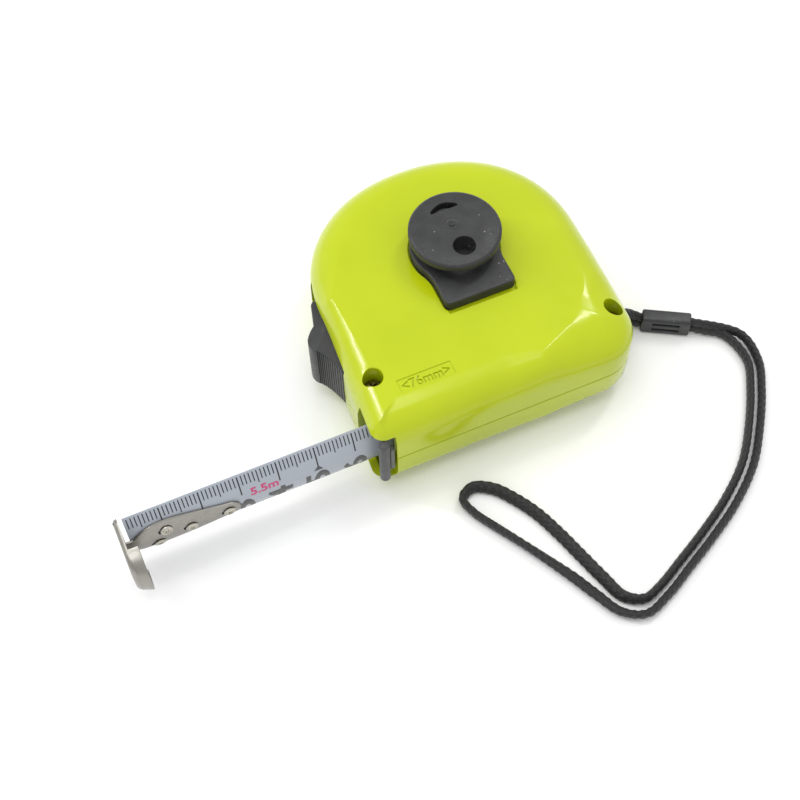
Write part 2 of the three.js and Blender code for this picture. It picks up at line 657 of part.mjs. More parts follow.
const shells = caseShells();
add('case_shell_upper', shells.upper, materials.case);
add('case_shell_lower', shells.lower, materials.case);
add('case_screw_front', caseScrew(FRONT_SCREW), materials.screw);
add('case_screw_rear', caseScrew(REAR_SCREW), materials.screw);
add('stud_plate', studPlate(), materials.darkPlastic);
add('stud_neck', studNeck(), materials.darkPlastic);
add('stud_disc', studDisc(), materials.darkPlastic);
add('lock_button', lockButton(), materials.blackPlastic);
add('brake_shoe', brakeShoe(), materials.greyPlastic);
add('mouth_bumper', mouthBumper(), materials.blackPlastic);
add('bumper_block', block(BUMPER_BLOCK.low, BUMPER_BLOCK.high), materials.greyPlastic);
add('blade', bladeStrip(), materials.blade);
add('end_hook', endHook(), materials.steel);
for (const spec of RIVETS) {
  add(spec.name, rivet(spec), materials.steel);
}
add('reel_axle', upright(0, 0, AXLE_RADIUS, WALL, CASE_THICKNESS - WALL - 0.2, 28), materials.steel);
add('reel_drum', reelDrum(), materials.reelPlastic);
add('reel_cover', reelCover(), materials.reelPlastic);
add('return_spring', returnSpring(), materials.spring);
add('blade_coil', bladeCoil(), materials.blade);
add('strap_ferrule', ferrule(), materials.blackPlastic);
add('strap_loop', cordSolid(STRAP_ROUTE, 78), materials.cord);
add('strap_anchor', cordSolid(ANCHOR_ROUTE, 22), materials.cord);

export default group;
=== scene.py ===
from math import asin, copysign, cos, exp, pi, radians, sin, sqrt

import bmesh
import bpy
from mathutils import Matrix, Vector


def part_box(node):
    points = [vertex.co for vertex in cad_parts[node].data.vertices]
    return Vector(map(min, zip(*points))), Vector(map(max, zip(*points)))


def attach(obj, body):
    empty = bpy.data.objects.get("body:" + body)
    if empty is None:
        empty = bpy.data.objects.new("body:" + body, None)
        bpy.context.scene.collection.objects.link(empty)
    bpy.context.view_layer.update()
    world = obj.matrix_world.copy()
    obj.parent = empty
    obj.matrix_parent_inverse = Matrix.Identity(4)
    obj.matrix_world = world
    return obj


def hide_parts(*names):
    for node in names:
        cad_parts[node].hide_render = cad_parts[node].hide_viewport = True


# The looks of a pocket tape measure, built around its CAD frame. Shapes are drawn in millimetres
# and stored in metres, in the CAD's own frame: +Z is the reel's axis, the blade runs out along -X
# and the foot faces -Y.

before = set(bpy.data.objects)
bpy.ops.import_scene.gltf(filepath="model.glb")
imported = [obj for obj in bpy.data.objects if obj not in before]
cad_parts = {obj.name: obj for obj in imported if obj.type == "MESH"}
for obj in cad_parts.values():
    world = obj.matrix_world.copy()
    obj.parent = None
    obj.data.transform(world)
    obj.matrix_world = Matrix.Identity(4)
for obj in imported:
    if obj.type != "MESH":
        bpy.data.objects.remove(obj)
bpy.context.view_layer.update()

MM = 0.001
UP = Vector((0, 0, 1))


def node_box(node):
    """A CAD node's lowest and highest corner, in millimetres."""
    low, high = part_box(node)
    return low / MM, high / MM


# Case
CASE_LOW, CASE_HIGH = node_box("case_shell_lower")[0], node_box("case_shell_upper")[1]
CASE_TOP = CASE_HIGH.z
MID_Z = CASE_TOP / 2
PARTING_GAP = 0.3
WALL = 2
FOOT_Y = CASE_LOW.y
DOME_X = -1.7
DOME_Y = -1.5
DOME_HALF_LENGTH = 36.8
DOME_HEIGHT = 34.8
DOME_POWER = 2.15
FOOT_FRONT_X = CASE_LOW.x
FOOT_LENGTH = 76
FOOT_REAR_X = FOOT_FRONT_X + FOOT_LENGTH
FRONT_CORNER_RADIUS = 4.5
REAR_CORNER_RADIUS = 11
EDGE_RADIUS = 9

# Mouth and lock slot
MOUTH_TOP_Y = -31.4
MOUTH_FOOT_X = -35.1
MOUTH_Z = (4.9, 24.6)
LOCK_Z = (6.6, 22.9)
LOCK_SLOT_Y = (-19.6, 9.4)
LOCK_GROOVES = 13
GROOVE_STEPS = 4
FIRST_GROOVE = 5
GROOVE_DEPTH = 0.34
SHIELD_MIDDLE = (-34.5, -11.15)

# Bumper and brake
BUMPER_RADIUS = 1.35
BUMPER_MIDDLE = (-38.4, -43.1)
BRAKE_PAD_MIDDLE = (-31.3, -36.15)
BRAKE_STEM_X = -31

# Screws
SCREW_HEAD_RADIUS = 2.35
SCREW_HOLE_RADIUS = 2.65
SCREWS = {
    "front": {"x": -34.5, "y": -27.2, "boss": 3.4},
    "rear": {"x": 30.2, "y": -31.6, "boss": 2.5},
}
for screw_name, screw in SCREWS.items():
    screw["head_top"] = node_box("case_screw_" + screw_name)[1].z
SCREW_BORE_RADIUS = 1.4
SEAT_RADIUS = 4.1
SEAT_TOP = 28.4
SEAT_UNDER_HEAD = 2.3

# Stud
PLATE_LOW, PLATE_HIGH = node_box("stud_plate")
DISC_LOW, DISC_HIGH = node_box("stud_disc")
STUD_PLATE_RADIUS = 11.8
STUD_TAB_HALF_WIDTH = 9.8
STUD_HOLE = Vector((0, -5.85))
STUD_HOLE_RADIUS = 2.9
NECK_RADIUS = 5.0

# Blade
BLADE_RADIUS = 14
BLADE_HALF_ANGLE = radians(39)
BLADE_LOW, BLADE_HIGH = node_box("blade")
BLADE_THICKNESS = 0.25
BLADE_AXIS_Y = BLADE_HIGH.y + (BLADE_RADIUS - BLADE_THICKNESS) * cos(BLADE_HALF_ANGLE)
SCALE_ZERO_X = -104.4
INK_DEPTH = 0.03
TICK_END = 8.95
FIRST_TICK, LAST_TICK = 2, 70
SCALE_FIGURES = (3, 4, 5, 6)
ARROW_AT = 50

# Hook
HOOK_SHEET = 1.2
LEAF_SHEET = 0.5
LEAF_RADIUS = BLADE_RADIUS + 0.15
LEAF_END = 29
CLAW_HALF_WIDTH = 7.6
CLAW_TOP_Y = -43.8
CLAW_RIM_DEPTH = 2.6
CLAW_TOE_DEPTH = 2.6
CLAW_TOE_LIFT = 2.4
SHOULDER_OUT = 9.3
SHOULDER_Y = -36.7
RIVETS = {
    "rivet_pair_upper": (10.1, 0.14),
    "rivet_pair_lower": (7.7, -0.2),
    "rivet_middle": (16.2, -0.05),
    "rivet_tail": (26, -0.03),
}

# Cord
CORD_HALF_HEIGHT = 1.7
CORD_HALF_THICKNESS = 1.12
FERRULE_TURN = -30

# Light and floor: each light's direction, distance, size and power
LIGHT_AIM = Vector((-5, -15, 15))
LIGHTS = {
    "overhead": ((-0.12, 0.0, 1), 900, (560, 560), 2.8),
    "front_streak": ((-0.62, 0.46, 0.64), 700, (18, 460), 1.2),
    "rear_streak": ((0.50, 0.25, 0.83), 700, (56, 250), 0.75),
}
WORLD_STRENGTH = 0.78
FLOOR_REACH = 3.0
FLOOR_DROP = 0.00005

# Camera
CAMERA_AZIMUTH = radians(-22.011)
CAMERA_ELEVATION = radians(60.173)
CAMERA_ROLL = radians(-1.677)
CAMERA_AIM = Vector((-24.62, -20.28, 0)) * MM
CAMERA_DISTANCE = 374.4 * MM
CAMERA_LENS = 62.86
CAMERA_SENSOR = 36


def add_object(name, data):
    made = bpy.data.objects.new(name, data)
    bpy.context.scene.collection.objects.link(made)
    return made


def place_camera():
    cos_a, sin_a = cos(CAMERA_AZIMUTH), sin(CAMERA_AZIMUTH)
    cos_e, sin_e = cos(CAMERA_ELEVATION), sin(CAMERA_ELEVATION)
    cos_r, sin_r = cos(CAMERA_ROLL), sin(CAMERA_ROLL)
    back = Vector((sin_a * cos_e, -cos_a * cos_e, sin_e))
    right = Vector((cos_a, sin_a, 0))
    up = back.cross(right)
    data = bpy.data.cameras.new("camera")
    data.lens = CAMERA_LENS
    data.sensor_width = CAMERA_SENSOR
    data.clip_start = 0.01
    camera = add_object("camera", data)
    turn = Matrix((right * cos_r + up * sin_r, up * cos_r - right * sin_r, back)).transposed().to_4x4()
    camera.matrix_world = Matrix.Translation(CAMERA_AIM + back * CAMERA_DISTANCE) @ turn
    bpy.context.scene.camera = camera


place_camera()


# Mesh helpers


def make_object(name, vertices, faces, turned_out=False):
    """A mesh object from points in millimetres. Its faces are turned outwards unless they are."""
    mesh = bpy.data.meshes.new(name)
    mesh.from_pydata([Vector(v) * MM for v in vertices], [], faces)
    if not turned_out:
        tidy_normals(mesh)
    return add_object(name, mesh)


def tidy_normals(mesh):
    work = bmesh.new()
    work.from_mesh(mesh)
    bmesh.ops.recalc_face_normals(work, faces=work.faces)
    work.to_mesh(mesh)
    work.free()
    mesh.update()


def loft(name, rings):
    """A closed skin through rings of equally many points, with flat end caps."""
    count = len(rings[0])
    vertices = [point for ring in rings for point in ring]
    faces = [list(range(count)), list(range(len(vertices) - count, len(vertices)))]
    for r in range(len(rings) - 1):
        for i in range(count):
            a, b = r * count + i, r * count + (i + 1) % count
            faces.append((a, b, b + count, a + count))
    return make_object(name, vertices, faces)


def revolve(name, profile, x=0.0, y=0.0, steps=96):
    """Turns (radius, z) pairs round the upright line through x, y. A profile that starts and ends
    on the axis gets flat caps, and any other one closes on itself."""
    turns = [2 * pi * i / steps for i in range(steps)]
    rings = [
        [(x + radius * cos(turn), y + radius * sin(turn), z) for turn in turns]
        for radius, z in profile
        if radius > 0
    ]
    if profile[0][0] == 0:
        return loft(name, rings)
    vertices = [point for ring in rings for point in ring]
    faces = []
    for r in range(len(rings)):
        for i in range(steps):
            a, b = r * steps, (r + 1) % len(rings) * steps
            j = (i + 1) % steps
            faces.append((a + i, a + j, b + j, b + i))
    return make_object(name, vertices, faces)


def cylinder(name, radius, low, high, x=0.0, y=0.0, steps=48):
    return revolve(name, [(0, low), (radius, low), (radius, high), (0, high)], x, y, steps)


def inset_loop(loop, distance):
    """A closed (x, y) outline drawn anticlockwise, moved in by distance."""
    count = len(loop)
    moved = []
    for i, (x, y) in enumerate(loop):
        before, after = Vector(loop[i - 1]), Vector(loop[(i + 1) % count])
        along = (after - before).normalized()
        moved.append((x - along.y * distance, y + along.x * distance))
    return moved


def inset_loft(name, outline, levels):
    """An anticlockwise (x, y) outline lofted through (inset, z) levels."""
    return loft(name, [[(x, y, z) for x, y in inset_loop(outline, inset)] for inset, z in levels])


def prism(name, outline, low, high, rounding=0.0, steps=4):
    """An anticlockwise (x, y) outline stood up from low to high, its end edges rounded."""
    if not rounding:
        return inset_loft(name, outline, [(0, low), (0, high)])
    turns = [0.5 * pi * i / steps for i in range(steps + 1)]
    round_off = [(rounding * (1 - sin(a)), rounding * (1 - cos(a))) for a in turns]
    start = [(inset, low + fall) for inset, fall in round_off]
    return inset_loft(name, outline, start + [(inset, high - fall) for inset, fall in reversed(round_off)])


def block(name, low, high):
    outline = [(low[0], low[1]), (high[0], low[1]), (high[0], high[1]), (low[0], high[1])]
    return prism(name, outline, low[2], high[2])


def arc(cx, cy, radius, start, end, steps):
    return [
        (cx + radius * cos(a), cy + radius * sin(a))
        for a in (start + (end - start) * i / steps for i in range(steps + 1))
    ]


def bezier(a, b, c, steps, d=None):
    """Points of a quadratic curve, or a cubic one where d is given, without its first point."""
    points = []
    for i in range(1, steps + 1):
        t = i / steps
        u = 1 - t
        if d is None:
            weights = ((a, u * u), (b, 2 * u * t), (c, t * t))
        else:
            weights = ((a, u**3), (b, 3 * u * u * t), (c, 3 * u * t * t), (d, t**3))
        points.append(tuple(sum(p[k] * w for p, w in weights) for k in (0, 1)))
    return points


def rounded_box_outline(half_length, half_width, radius, steps=6):
    corners = [
        (half_length - radius, -half_width + radius, -0.5),
        (half_length - radius, half_width - radius, 0),
        (-half_length + radius, half_width - radius, 0.5),
        (-half_length + radius, -half_width + radius, 1),
    ]
    points = []
    for x, y, quarter in corners:
        points += arc(x, y, radius, quarter * pi, (quarter + 0.5) * pi, steps)
    return points


def rounded_box_at(middle, *box):
    return [(middle[0] + x, middle[1] + y) for x, y in rounded_box_outline(*box)]


def flared_box(name, middle, half, corner, levels, steps=6):
    """A rounded box lofted through (grow, z) levels, each wider than the box by grow."""
    outline = rounded_box_outline(*half, corner, steps)
    rings = [
        [(middle[0] + x * (1 + grow / half[0]), middle[1] + y * (1 + grow / half[1]), z) for x, y in outline]
        for grow, z in levels
    ]
    return loft(name, rings)


def boolean(piece, tool, operation="DIFFERENCE"):
    """Cuts tool from piece, or joins it, and removes tool."""
    modifier = piece.modifiers.new("boolean", "BOOLEAN")
    modifier.operation = operation
    modifier.solver = "EXACT"
    modifier.object = tool
    graph = bpy.context.evaluated_depsgraph_get()
    mesh = bpy.data.meshes.new_from_object(piece.evaluated_get(graph))
    piece.modifiers.clear()
    piece.data = mesh
    bpy.data.objects.remove(tool)
    return piece


def moved_by(x, y, z):
    return Matrix.Translation(Vector((x, y, z)) * MM)


def turned_by(degrees, axis="Z"):
    return Matrix.Rotation(radians(degrees), 4, axis)


def place(piece, transform):
    piece.data.transform(transform)
    piece.data.update()
    return piece


def finish_piece(piece, body, material, node=None, smooth=32):
    """Shades a piece, gives it its material, and has it ride on its body. node is the CAD node that it
    stands for."""
    mesh = piece.data
    for polygon in mesh.polygons:
        polygon.use_smooth = True
    mesh.set_sharp_from_angle(angle=radians(smooth))
    mesh.materials.clear()
    mesh.materials.append(material)
    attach(piece, body)
    if node:
        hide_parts(node)
    return piece


# Materials


class Surface:
    """A Principled material and the few node chains that the materials below share."""

    def __init__(self, name, colour, roughness, metallic=0.0, ior=1.5):
        self.material = bpy.data.materials.new(name)
        self.material.use_nodes = True
        self.tree = self.material.node_tree
        self.shader = self.tree.nodes["Principled BSDF"]
        self.put("Base Color", (*colour, 1))
        self.put("Roughness", roughness)
        self.put("Metallic", metallic)
        self.put("IOR", ior)
        self.colour = colour

    def put(self, socket, value):
        self.shader.inputs[socket].default_value = value

    def node(self, kind, **settings):
        made = self.tree.nodes.new(kind)
        for key, value in settings.items():
            setattr(made, key, value)
        return made

    def link(self, start, end):
        self.tree.links.new(start, end)

    def texture(self, kind, size, stretch=(1, 1, 1)):
        """A texture in which one unit is size millimetres, stretched along an axis."""
        source = self.node("ShaderNodeTexCoord")
        mapping = self.node("ShaderNodeMapping")
        mapping.inputs["Scale"].default_value = [1 / (size * MM * s) for s in stretch]
        self.link(source.outputs["Object"], mapping.inputs["Vector"])
        made = self.node(kind)
        made.inputs["Scale"].default_value = 1
        self.link(mapping.outputs["Vector"], made.inputs["Vector"])
        return made

    def noise(self, size, detail=3.0, stretch=(1, 1, 1)):
        made = self.texture("ShaderNodeTexNoise", size, stretch)
        made.inputs["Detail"].default_value = detail
        return made.outputs["Fac"]

    def specks(self, size, radius):
        """1 inside small round specks, one to a cell of that size, and 0 elsewhere."""
        cells = self.texture("ShaderNodeTexVoronoi", size)
        few = self.ramp(cells.outputs["Color"], 0.78, 0.8)
        near = self.ramp(cells.outputs["Distance"], radius, radius * 0.6)
        return self.math("MULTIPLY", near, few)

    def math(self, operation, a, b=None):
        made = self.node("ShaderNodeMath", operation=operation)
        for socket, value in zip(made.inputs, (a, b)):
            if isinstance(value, (int, float)):
                socket.default_value = value
            elif value is not None:
                self.link(value, socket)
        return made.outputs[0]

    def ramp(self, value, low, high, to_low=0.0, to_high=1.0):
        """Maps low..high to to_low..to_high, held at its ends."""
        made = self.node("ShaderNodeMapRange", clamp=True)
        self.link(value, made.inputs["Value"])
        for key, number in zip(("From Min", "From Max", "To Min", "To Max"), (low, high, to_low, to_high)):
            made.inputs[key].default_value = number
        return made.outputs["Result"]

    def tint(self, factor, colour):
        """Mixes the base colour with another one by factor; a second call mixes over the first."""
        made = self.node("ShaderNodeMix", data_type="RGBA")
        socket = self.shader.inputs["Base Color"]
        if socket.is_linked:
            self.link(socket.links[0].from_socket, made.inputs["A"])
        else:
            made.inputs["A"].default_value = (*self.colour, 1)
        made.inputs["B"].default_value = (*colour, 1)
        self.link(factor, made.inputs["Factor"])
        self.link(made.outputs["Result"], socket)

    def vary_roughness(self, value, low, high, start=0.3, end=0.7):
        self.link(self.ramp(value, start, end, low, high), self.shader.inputs["Roughness"])

    def bump(self, height, depth, strength=1.0):
        """Adds a relief depth millimetres deep; a second call lies over the first."""
        made = self.node("ShaderNodeBump")
        made.inputs["Strength"].default_value = strength
        made.inputs["Distance"].default_value = depth * MM
        self.link(height, made.inputs["Height"])
        socket = self.shader.inputs["Normal"]
        if socket.is_linked:
            self.link(socket.links[0].from_socket, made.inputs["Normal"])
        self.link(made.outputs["Normal"], socket)


def case_plastic():
    """Glossy lime ABS: a faint orange peel and slow shifts of shade."""
    lime = Surface("lime_plastic", (0.435, 0.52, 0.003), 0.2)
    lime.tint(lime.ramp(lime.noise(22), 0.35, 0.65), (0.465, 0.55, 0.004))
    lime.vary_roughness(lime.noise(3.5, 4), 0.16, 0.25)
    lime.bump(lime.noise(2.2, 1), 0.004)
    lime.put("Specular IOR Level", 0.36)
    lime.put("Coat Weight", 0.2)
    lime.put("Coat Roughness", 0.05)
    return lime.material


def moulded_plastic(name, colour, roughness, grain, depth, dust=0.0):
    """Matt moulded plastic with a fine spark-eroded grain, and a little dust where it is given."""
    plastic = Surface(name, colour, roughness)
    lighter = [min(1, c * 1.35 + 0.004) for c in colour]
    plastic.tint(plastic.ramp(plastic.noise(3, 5), 0.35, 0.7), lighter)
    if dust:
        plastic.tint(plastic.math("MULTIPLY", plastic.specks(1.3, 0.13), dust), (0.5, 0.5, 0.49))
        plastic.tint(plastic.math("MULTIPLY", plastic.specks(0.55, 0.16), 0.5 * dust), (0.3, 0.3, 0.3))
    plastic.vary_roughness(plastic.noise(0.8, 4), roughness - 0.07, roughness + 0.09)
    plastic.bump(plastic.noise(grain, 2), depth)
    return plastic.material


def bumper_rubber():
    rubber = Surface("bumper_rubber", (0.05, 0.051, 0.053), 0.62, ior=1.45)
    rubber.tint(rubber.ramp(rubber.noise(2, 4), 0.4, 0.7), (0.075, 0.075, 0.078))
    rubber.bump(rubber.noise(0.25, 3), 0.01)
    rubber.put("Sheen Weight", 0.2)
    return rubber.material


def brushed_steel(name, colour, roughness, stretch, depth=0.004):
    """Steel with fine brush lines; stretch gives their direction."""
    steel = Surface(name, colour, roughness, metallic=1.0)
    lines = steel.noise(0.08, 3, stretch)
    steel.tint(steel.ramp(lines, 0.3, 0.7), [c * 0.82 for c in colour])
    steel.tint(steel.math("MULTIPLY", steel.ramp(steel.noise(2.5, 5), 0.5, 0.75), 0.25), (0.2, 0.18, 0.16))
    steel.vary_roughness(lines, roughness - 0.06, roughness + 0.1)
    steel.bump(lines, depth)
    return steel.material


def blade_lacquer():
    """Satin grey-blue lacquer on spring steel, with faint rolling lines along the blade."""
    lacquer = Surface("blade_lacquer", (0.385, 0.42, 0.475), 0.36)
    lines = lacquer.noise(0.3, 3, (30, 1, 1))
    lacquer.tint(lacquer.ramp(lines, 0.3, 0.7, 0, 0.4), (0.34, 0.37, 0.42))
    lacquer.put("Coat Weight", 0.25)
    lacquer.put("Coat Roughness", 0.2)
    lacquer.vary_roughness(lacquer.noise(1.2, 4), 0.3, 0.42)
    lacquer.bump(lines, 0.002)
    return lacquer.material


def ink(name, colour, thin):
    """Printing ink with slightly uneven cover."""
    print_ink = Surface(name, colour, 0.42)
    print_ink.tint(print_ink.ramp(print_ink.noise(0.35, 4), 0.45, 0.7), thin)
    print_ink.vary_roughness(print_ink.noise(0.8), 0.35, 0.5)
    print_ink.bump(print_ink.noise(0.2), 0.002)
    return print_ink.material


def screw_metal():
    """Yellow-passivated steel that has darkened in its recesses."""
    metal = Surface("screw_metal", (0.42, 0.34, 0.17), 0.32, metallic=1.0)
    metal.tint(metal.ramp(metal.noise(0.9, 4), 0.4, 0.65), (0.22, 0.17, 0.08))
    metal.vary_roughness(metal.noise(0.5, 4), 0.22, 0.45)
    metal.bump(metal.noise(0.15, 3), 0.006)
    return metal.material


def cord_yarn():
    """Black polyester yarn: filaments along each strand, with a painted sheen that tints the raised strand
    tops pale.
    """
    yarn = Surface("cord_yarn", (0.008, 0.008, 0.009), 0.55)
    filament = yarn.node("ShaderNodeAttribute", attribute_name="filament")
    relief = yarn.node("ShaderNodeAttribute", attribute_name="relief")
    wave = yarn.math("SINE", yarn.math("MULTIPLY", filament.outputs["Fac"], 40.0))
    lit = yarn.math("MULTIPLY", yarn.ramp(wave, 0.2, 1), yarn.ramp(relief.outputs["Fac"], 0.55, 1))
    painted_sheen = yarn.math("MULTIPLY", lit, yarn.ramp(yarn.noise(0.5, 4), 0.5, 0.62))
    # Painted sheen: the filaments on the raised strand tops are tinted pale where light would catch them.
    yarn.tint(yarn.math("MULTIPLY", painted_sheen, 0.5), (0.12, 0.12, 0.125))
    yarn.vary_roughness(wave, 0.42, 0.62, -1, 1)
    yarn.bump(wave, 0.03, 0.6)
    yarn.bump(yarn.noise(0.12, 4), 0.03, 0.5)
    yarn.put("Sheen Weight", 0.12)
    yarn.put("Sheen Roughness", 0.4)
    return yarn.material


LIME = case_plastic()
STUD = moulded_plastic("stud_plastic", (0.019, 0.0195, 0.0205), 0.46, 0.22, 0.02, dust=1.0)
LOCK = moulded_plastic("lock_plastic", (0.022, 0.0225, 0.024), 0.42, 0.2, 0.008, dust=0.25)
FERRULE = moulded_plastic("ferrule_plastic", (0.02, 0.0205, 0.022), 0.4, 0.3, 0.008, dust=0.3)
GREY = moulded_plastic("grey_plastic", (0.10, 0.105, 0.092), 0.5, 0.25, 0.01)
REEL = moulded_plastic("reel_plastic", (0.68, 0.68, 0.65), 0.4, 0.3, 0.006)
RUBBER = bumper_rubber()
BLADE = blade_lacquer()
BLACK_INK = ink("black_ink", (0.008, 0.008, 0.01), (0.02, 0.02, 0.023))
GREY_INK = ink("grey_ink", (0.055, 0.055, 0.058), (0.09, 0.09, 0.095))
RED_INK = ink("red_ink", (0.52, 0.035, 0.16), (0.6, 0.09, 0.22))
HOOK_STEEL = brushed_steel("hook_steel", (0.36, 0.345, 0.315), 0.34, (18, 1, 1))
RIVET_STEEL = brushed_steel("rivet_steel", (0.56, 0.53, 0.46), 0.28, (1, 1, 1))
SPRING_STEEL = brushed_steel("spring_steel", (0.2, 0.22, 0.26), 0.32, (1, 1, 14))
SCREW = screw_metal()
YARN = cord_yarn()


# Strap. The routes are the CAD's, in metres.

STRAP_ROUTE = [
    (0.0571, -0.0330, 0.0019), (0.0600, -0.0350, 0.0018), (0.0632, -0.0373, 0.0018),
    (0.0652, -0.0418, 0.0018), (0.0654, -0.0484, 0.0018), (0.0619, -0.0558, 0.0018),
    (0.0561, -0.0649, 0.0018), (0.0488, -0.0740, 0.0018), (0.0396, -0.0813, 0.0018),
    (0.0300, -0.0870, 0.0018), (0.0209, -0.0917, 0.0018), (0.0121, -0.0960, 0.0018),
    (0.0076, -0.0972, 0.0018), (0.0032, -0.0946, 0.0017), (0.0009, -0.0882, 0.0015),
    (-0.0014, -0.0806, 0.0015), (-0.0037, -0.0730, 0.0015), (-0.0064, -0.0657, 0.0015),
    (-0.0099, -0.0596, 0.0016), (-0.0136, -0.0550, 0.0017), (-0.0184, -0.0526, 0.0018),
    (-0.0219, -0.0546, 0.0018), (-0.0209, -0.0592, 0.0018), (-0.0176, -0.0650, 0.0018),
    (-0.0138, -0.0712, 0.0018), (-0.0095, -0.0784, 0.0016), (-0.0056, -0.0854, 0.0015),
    (-0.0026, -0.0916, 0.0015), (0.0008, -0.0979, 0.0017), (0.0062, -0.1009, 0.0018),
    (0.0132, -0.0988, 0.0018), (0.0221, -0.0943, 0.0018), (0.0312, -0.0896, 0.0018),
    (0.0411, -0.0838, 0.0018), (0.0508, -0.0761, 0.0018), (0.0583, -0.0668, 0.0018),
    (0.0644, -0.0574, 0.0018), (0.0682, -0.0492, 0.0019), (0.0678, -0.0404, 0.0025),
    (0.0570, -0.0328, 0.0047),
]
ANCHOR_ROUTE = [
    (0.0444, -0.0254, 0.0049), (0.0423, -0.0244, 0.0059), (0.0396, -0.0245, 0.0082),
    (0.0362, -0.0258, 0.0106), (0.0326, -0.0277, 0.0112), (0.0290, -0.0275, 0.0112),
    (0.0266, -0.0296, 0.0112), (0.0264, -0.0326, 0.0112), (0.0284, -0.0351, 0.0112),
    (0.0316, -0.0354, 0.0112), (0.0344, -0.0332, 0.0112), (0.0368, -0.0306, 0.0096),
    (0.0388, -0.0278, 0.0064), (0.0406, -0.0254, 0.0036), (0.0427, -0.0245, 0.0022),
    (0.0444, -0.0254, 0.0019),
]
# How far the cord lies over from its edge, in degrees, at route points along it
STRAP_LEAN = {0: 0, 12: 0, 14: 68, 18: 64, 20: 35, 22: 6, 24: 8, 25: 55, 27: 68, 29: 10, 30: 0, 39: 0}
BRAID_STRANDS = 4
BRAID_LAY = 8.4
BRAID_RELIEF = 0.26
BRAID_SIDES = 40
BRAID_STEP = 0.2
CORD_HIDDEN_END = 1.8
CORD_NARROWS = 2.5


def smooth_line(points, step):
    """Points about step apart on a centripetal Catmull-Rom curve, each with its place in the list."""
    line = [Vector(p) for p in points]
    ends = [2 * line[0] - line[1], *line, 2 * line[-1] - line[-2]]
    found = []
    for i in range(len(line) - 1):
        p = ends[i : i + 4]
        k = [0.0]
        for a, b in zip(p, p[1:]):
            k.append(k[-1] + (b - a).length ** 0.5)
        count = max(2, round((p[2] - p[1]).length / step))
        for j in range(count):
            t = k[1] + (k[2] - k[1]) * j / count
            a = [p[n].lerp(p[n + 1], (t - k[n]) / (k[n + 1] - k[n])) for n in range(3)]
            b = [a[n].lerp(a[n + 1], (t - k[n]) / (k[n + 2] - k[n])) for n in range(2)]
            found.append((b[0].lerp(b[1], (t - k[1]) / (k[2] - k[1])), i + j / count))
    found.append((line[-1], len(line) - 1))
    return found


def interpolate(table, value, blur=0.0):
    """A {place: amount} table read at value, held at its ends. blur rounds off its corners."""
    if blur:
        near = [interpolate(table, value + blur * step / 3) for step in range(-3, 4)]
        return sum(near) / len(near)
    keys = sorted(table)
    if value <= keys[0]:
        return table[keys[0]]
    for a, b in zip(keys, keys[1:]):
        if value <= b:
            return table[a] + (table[b] - table[a]) * (value - a) / (b - a)
    return table[keys[-1]]


def braid(around, along):
    """The braid's relief, 0 to 1, and the place across the strand on top, -0.5 to 0.5."""
    rising = BRAID_STRANDS * (around + along / BRAID_LAY)
    falling = BRAID_STRANDS * (around - along / BRAID_LAY)
    heights = []
    for this, other, sign in ((rising, falling, 1), (falling, rising, -1)):
        across = this - round(this)
        over = 0.5 + 0.5 * sign * cos(pi * (other + round(this)))
        heights.append(((1 - 4 * across * across) * (0.35 + 0.65 * over), across))
    return max(heights)


def braided_cord(name, route, lean, end_scale):
    """A flat braid along a route in metres. lean turns its section over, and end_scale narrows it
    where it enters the ferrule."""
    ends = [Vector(p) for p in (route[0], route[1], route[-2], route[-1])]
    first = ends[0] + (ends[0] - ends[1]).normalized() * CORD_HIDDEN_END * MM
    final = ends[3] + (ends[3] - ends[2]).normalized() * CORD_HIDDEN_END * MM
    line = smooth_line([first, *route, final], BRAID_STEP * MM)
    last = len(route) + 1
    vertices, relief, filament = [], [], []
    travelled = 0.0
    for i, (point, place) in enumerate(line):
        before, after = line[max(i - 1, 0)][0], line[min(i + 1, len(line) - 1)][0]
        along = (after - before).normalized()
        travelled += (point - line[max(i - 1, 0)][0]).length / MM
        side = along.cross(UP).normalized()
        upright = side.cross(along)
        angle = radians(interpolate(lean, place - 1, 1.0))
        major = upright * cos(angle) + side * sin(angle)
        minor = major.cross(along)
        near_end = min(place, last - place)
        scale = end_scale + (1 - end_scale) * min(1, near_end / CORD_NARROWS) ** 0.7
        for j in range(BRAID_SIDES):
            around = j / BRAID_SIDES
            height, across = braid(around, travelled)
            turn = 2 * pi * around
            sunk = BRAID_RELIEF * (1 - height)
            high = (CORD_HALF_HEIGHT * scale - sunk) * sin(turn)
            wide = (CORD_HALF_THICKNESS * scale - sunk) * cos(turn)
            vertices.append(point / MM + major * high + minor * wide)
            relief.append(height)
            filament.append(across)
    rings = [vertices[i : i + BRAID_SIDES] for i in range(0, len(vertices), BRAID_SIDES)]
    cord = loft(name, rings)
    for label, values in (("relief", relief), ("filament", filament)):
        attribute = cord.data.attributes.new(label, "FLOAT", "POINT")
        attribute.data.foreach_set("value", values)
    return cord, [point for point, place in line[::4]] + [line[-1][0]]


def lay_cord(name, node, route, lean, end_scale, **more):
    """One length of the strap, riding on the case."""
    cord, path = braided_cord(name, route, lean, end_scale)
    finish_piece(cord, "case", YARN, node, smooth=80)


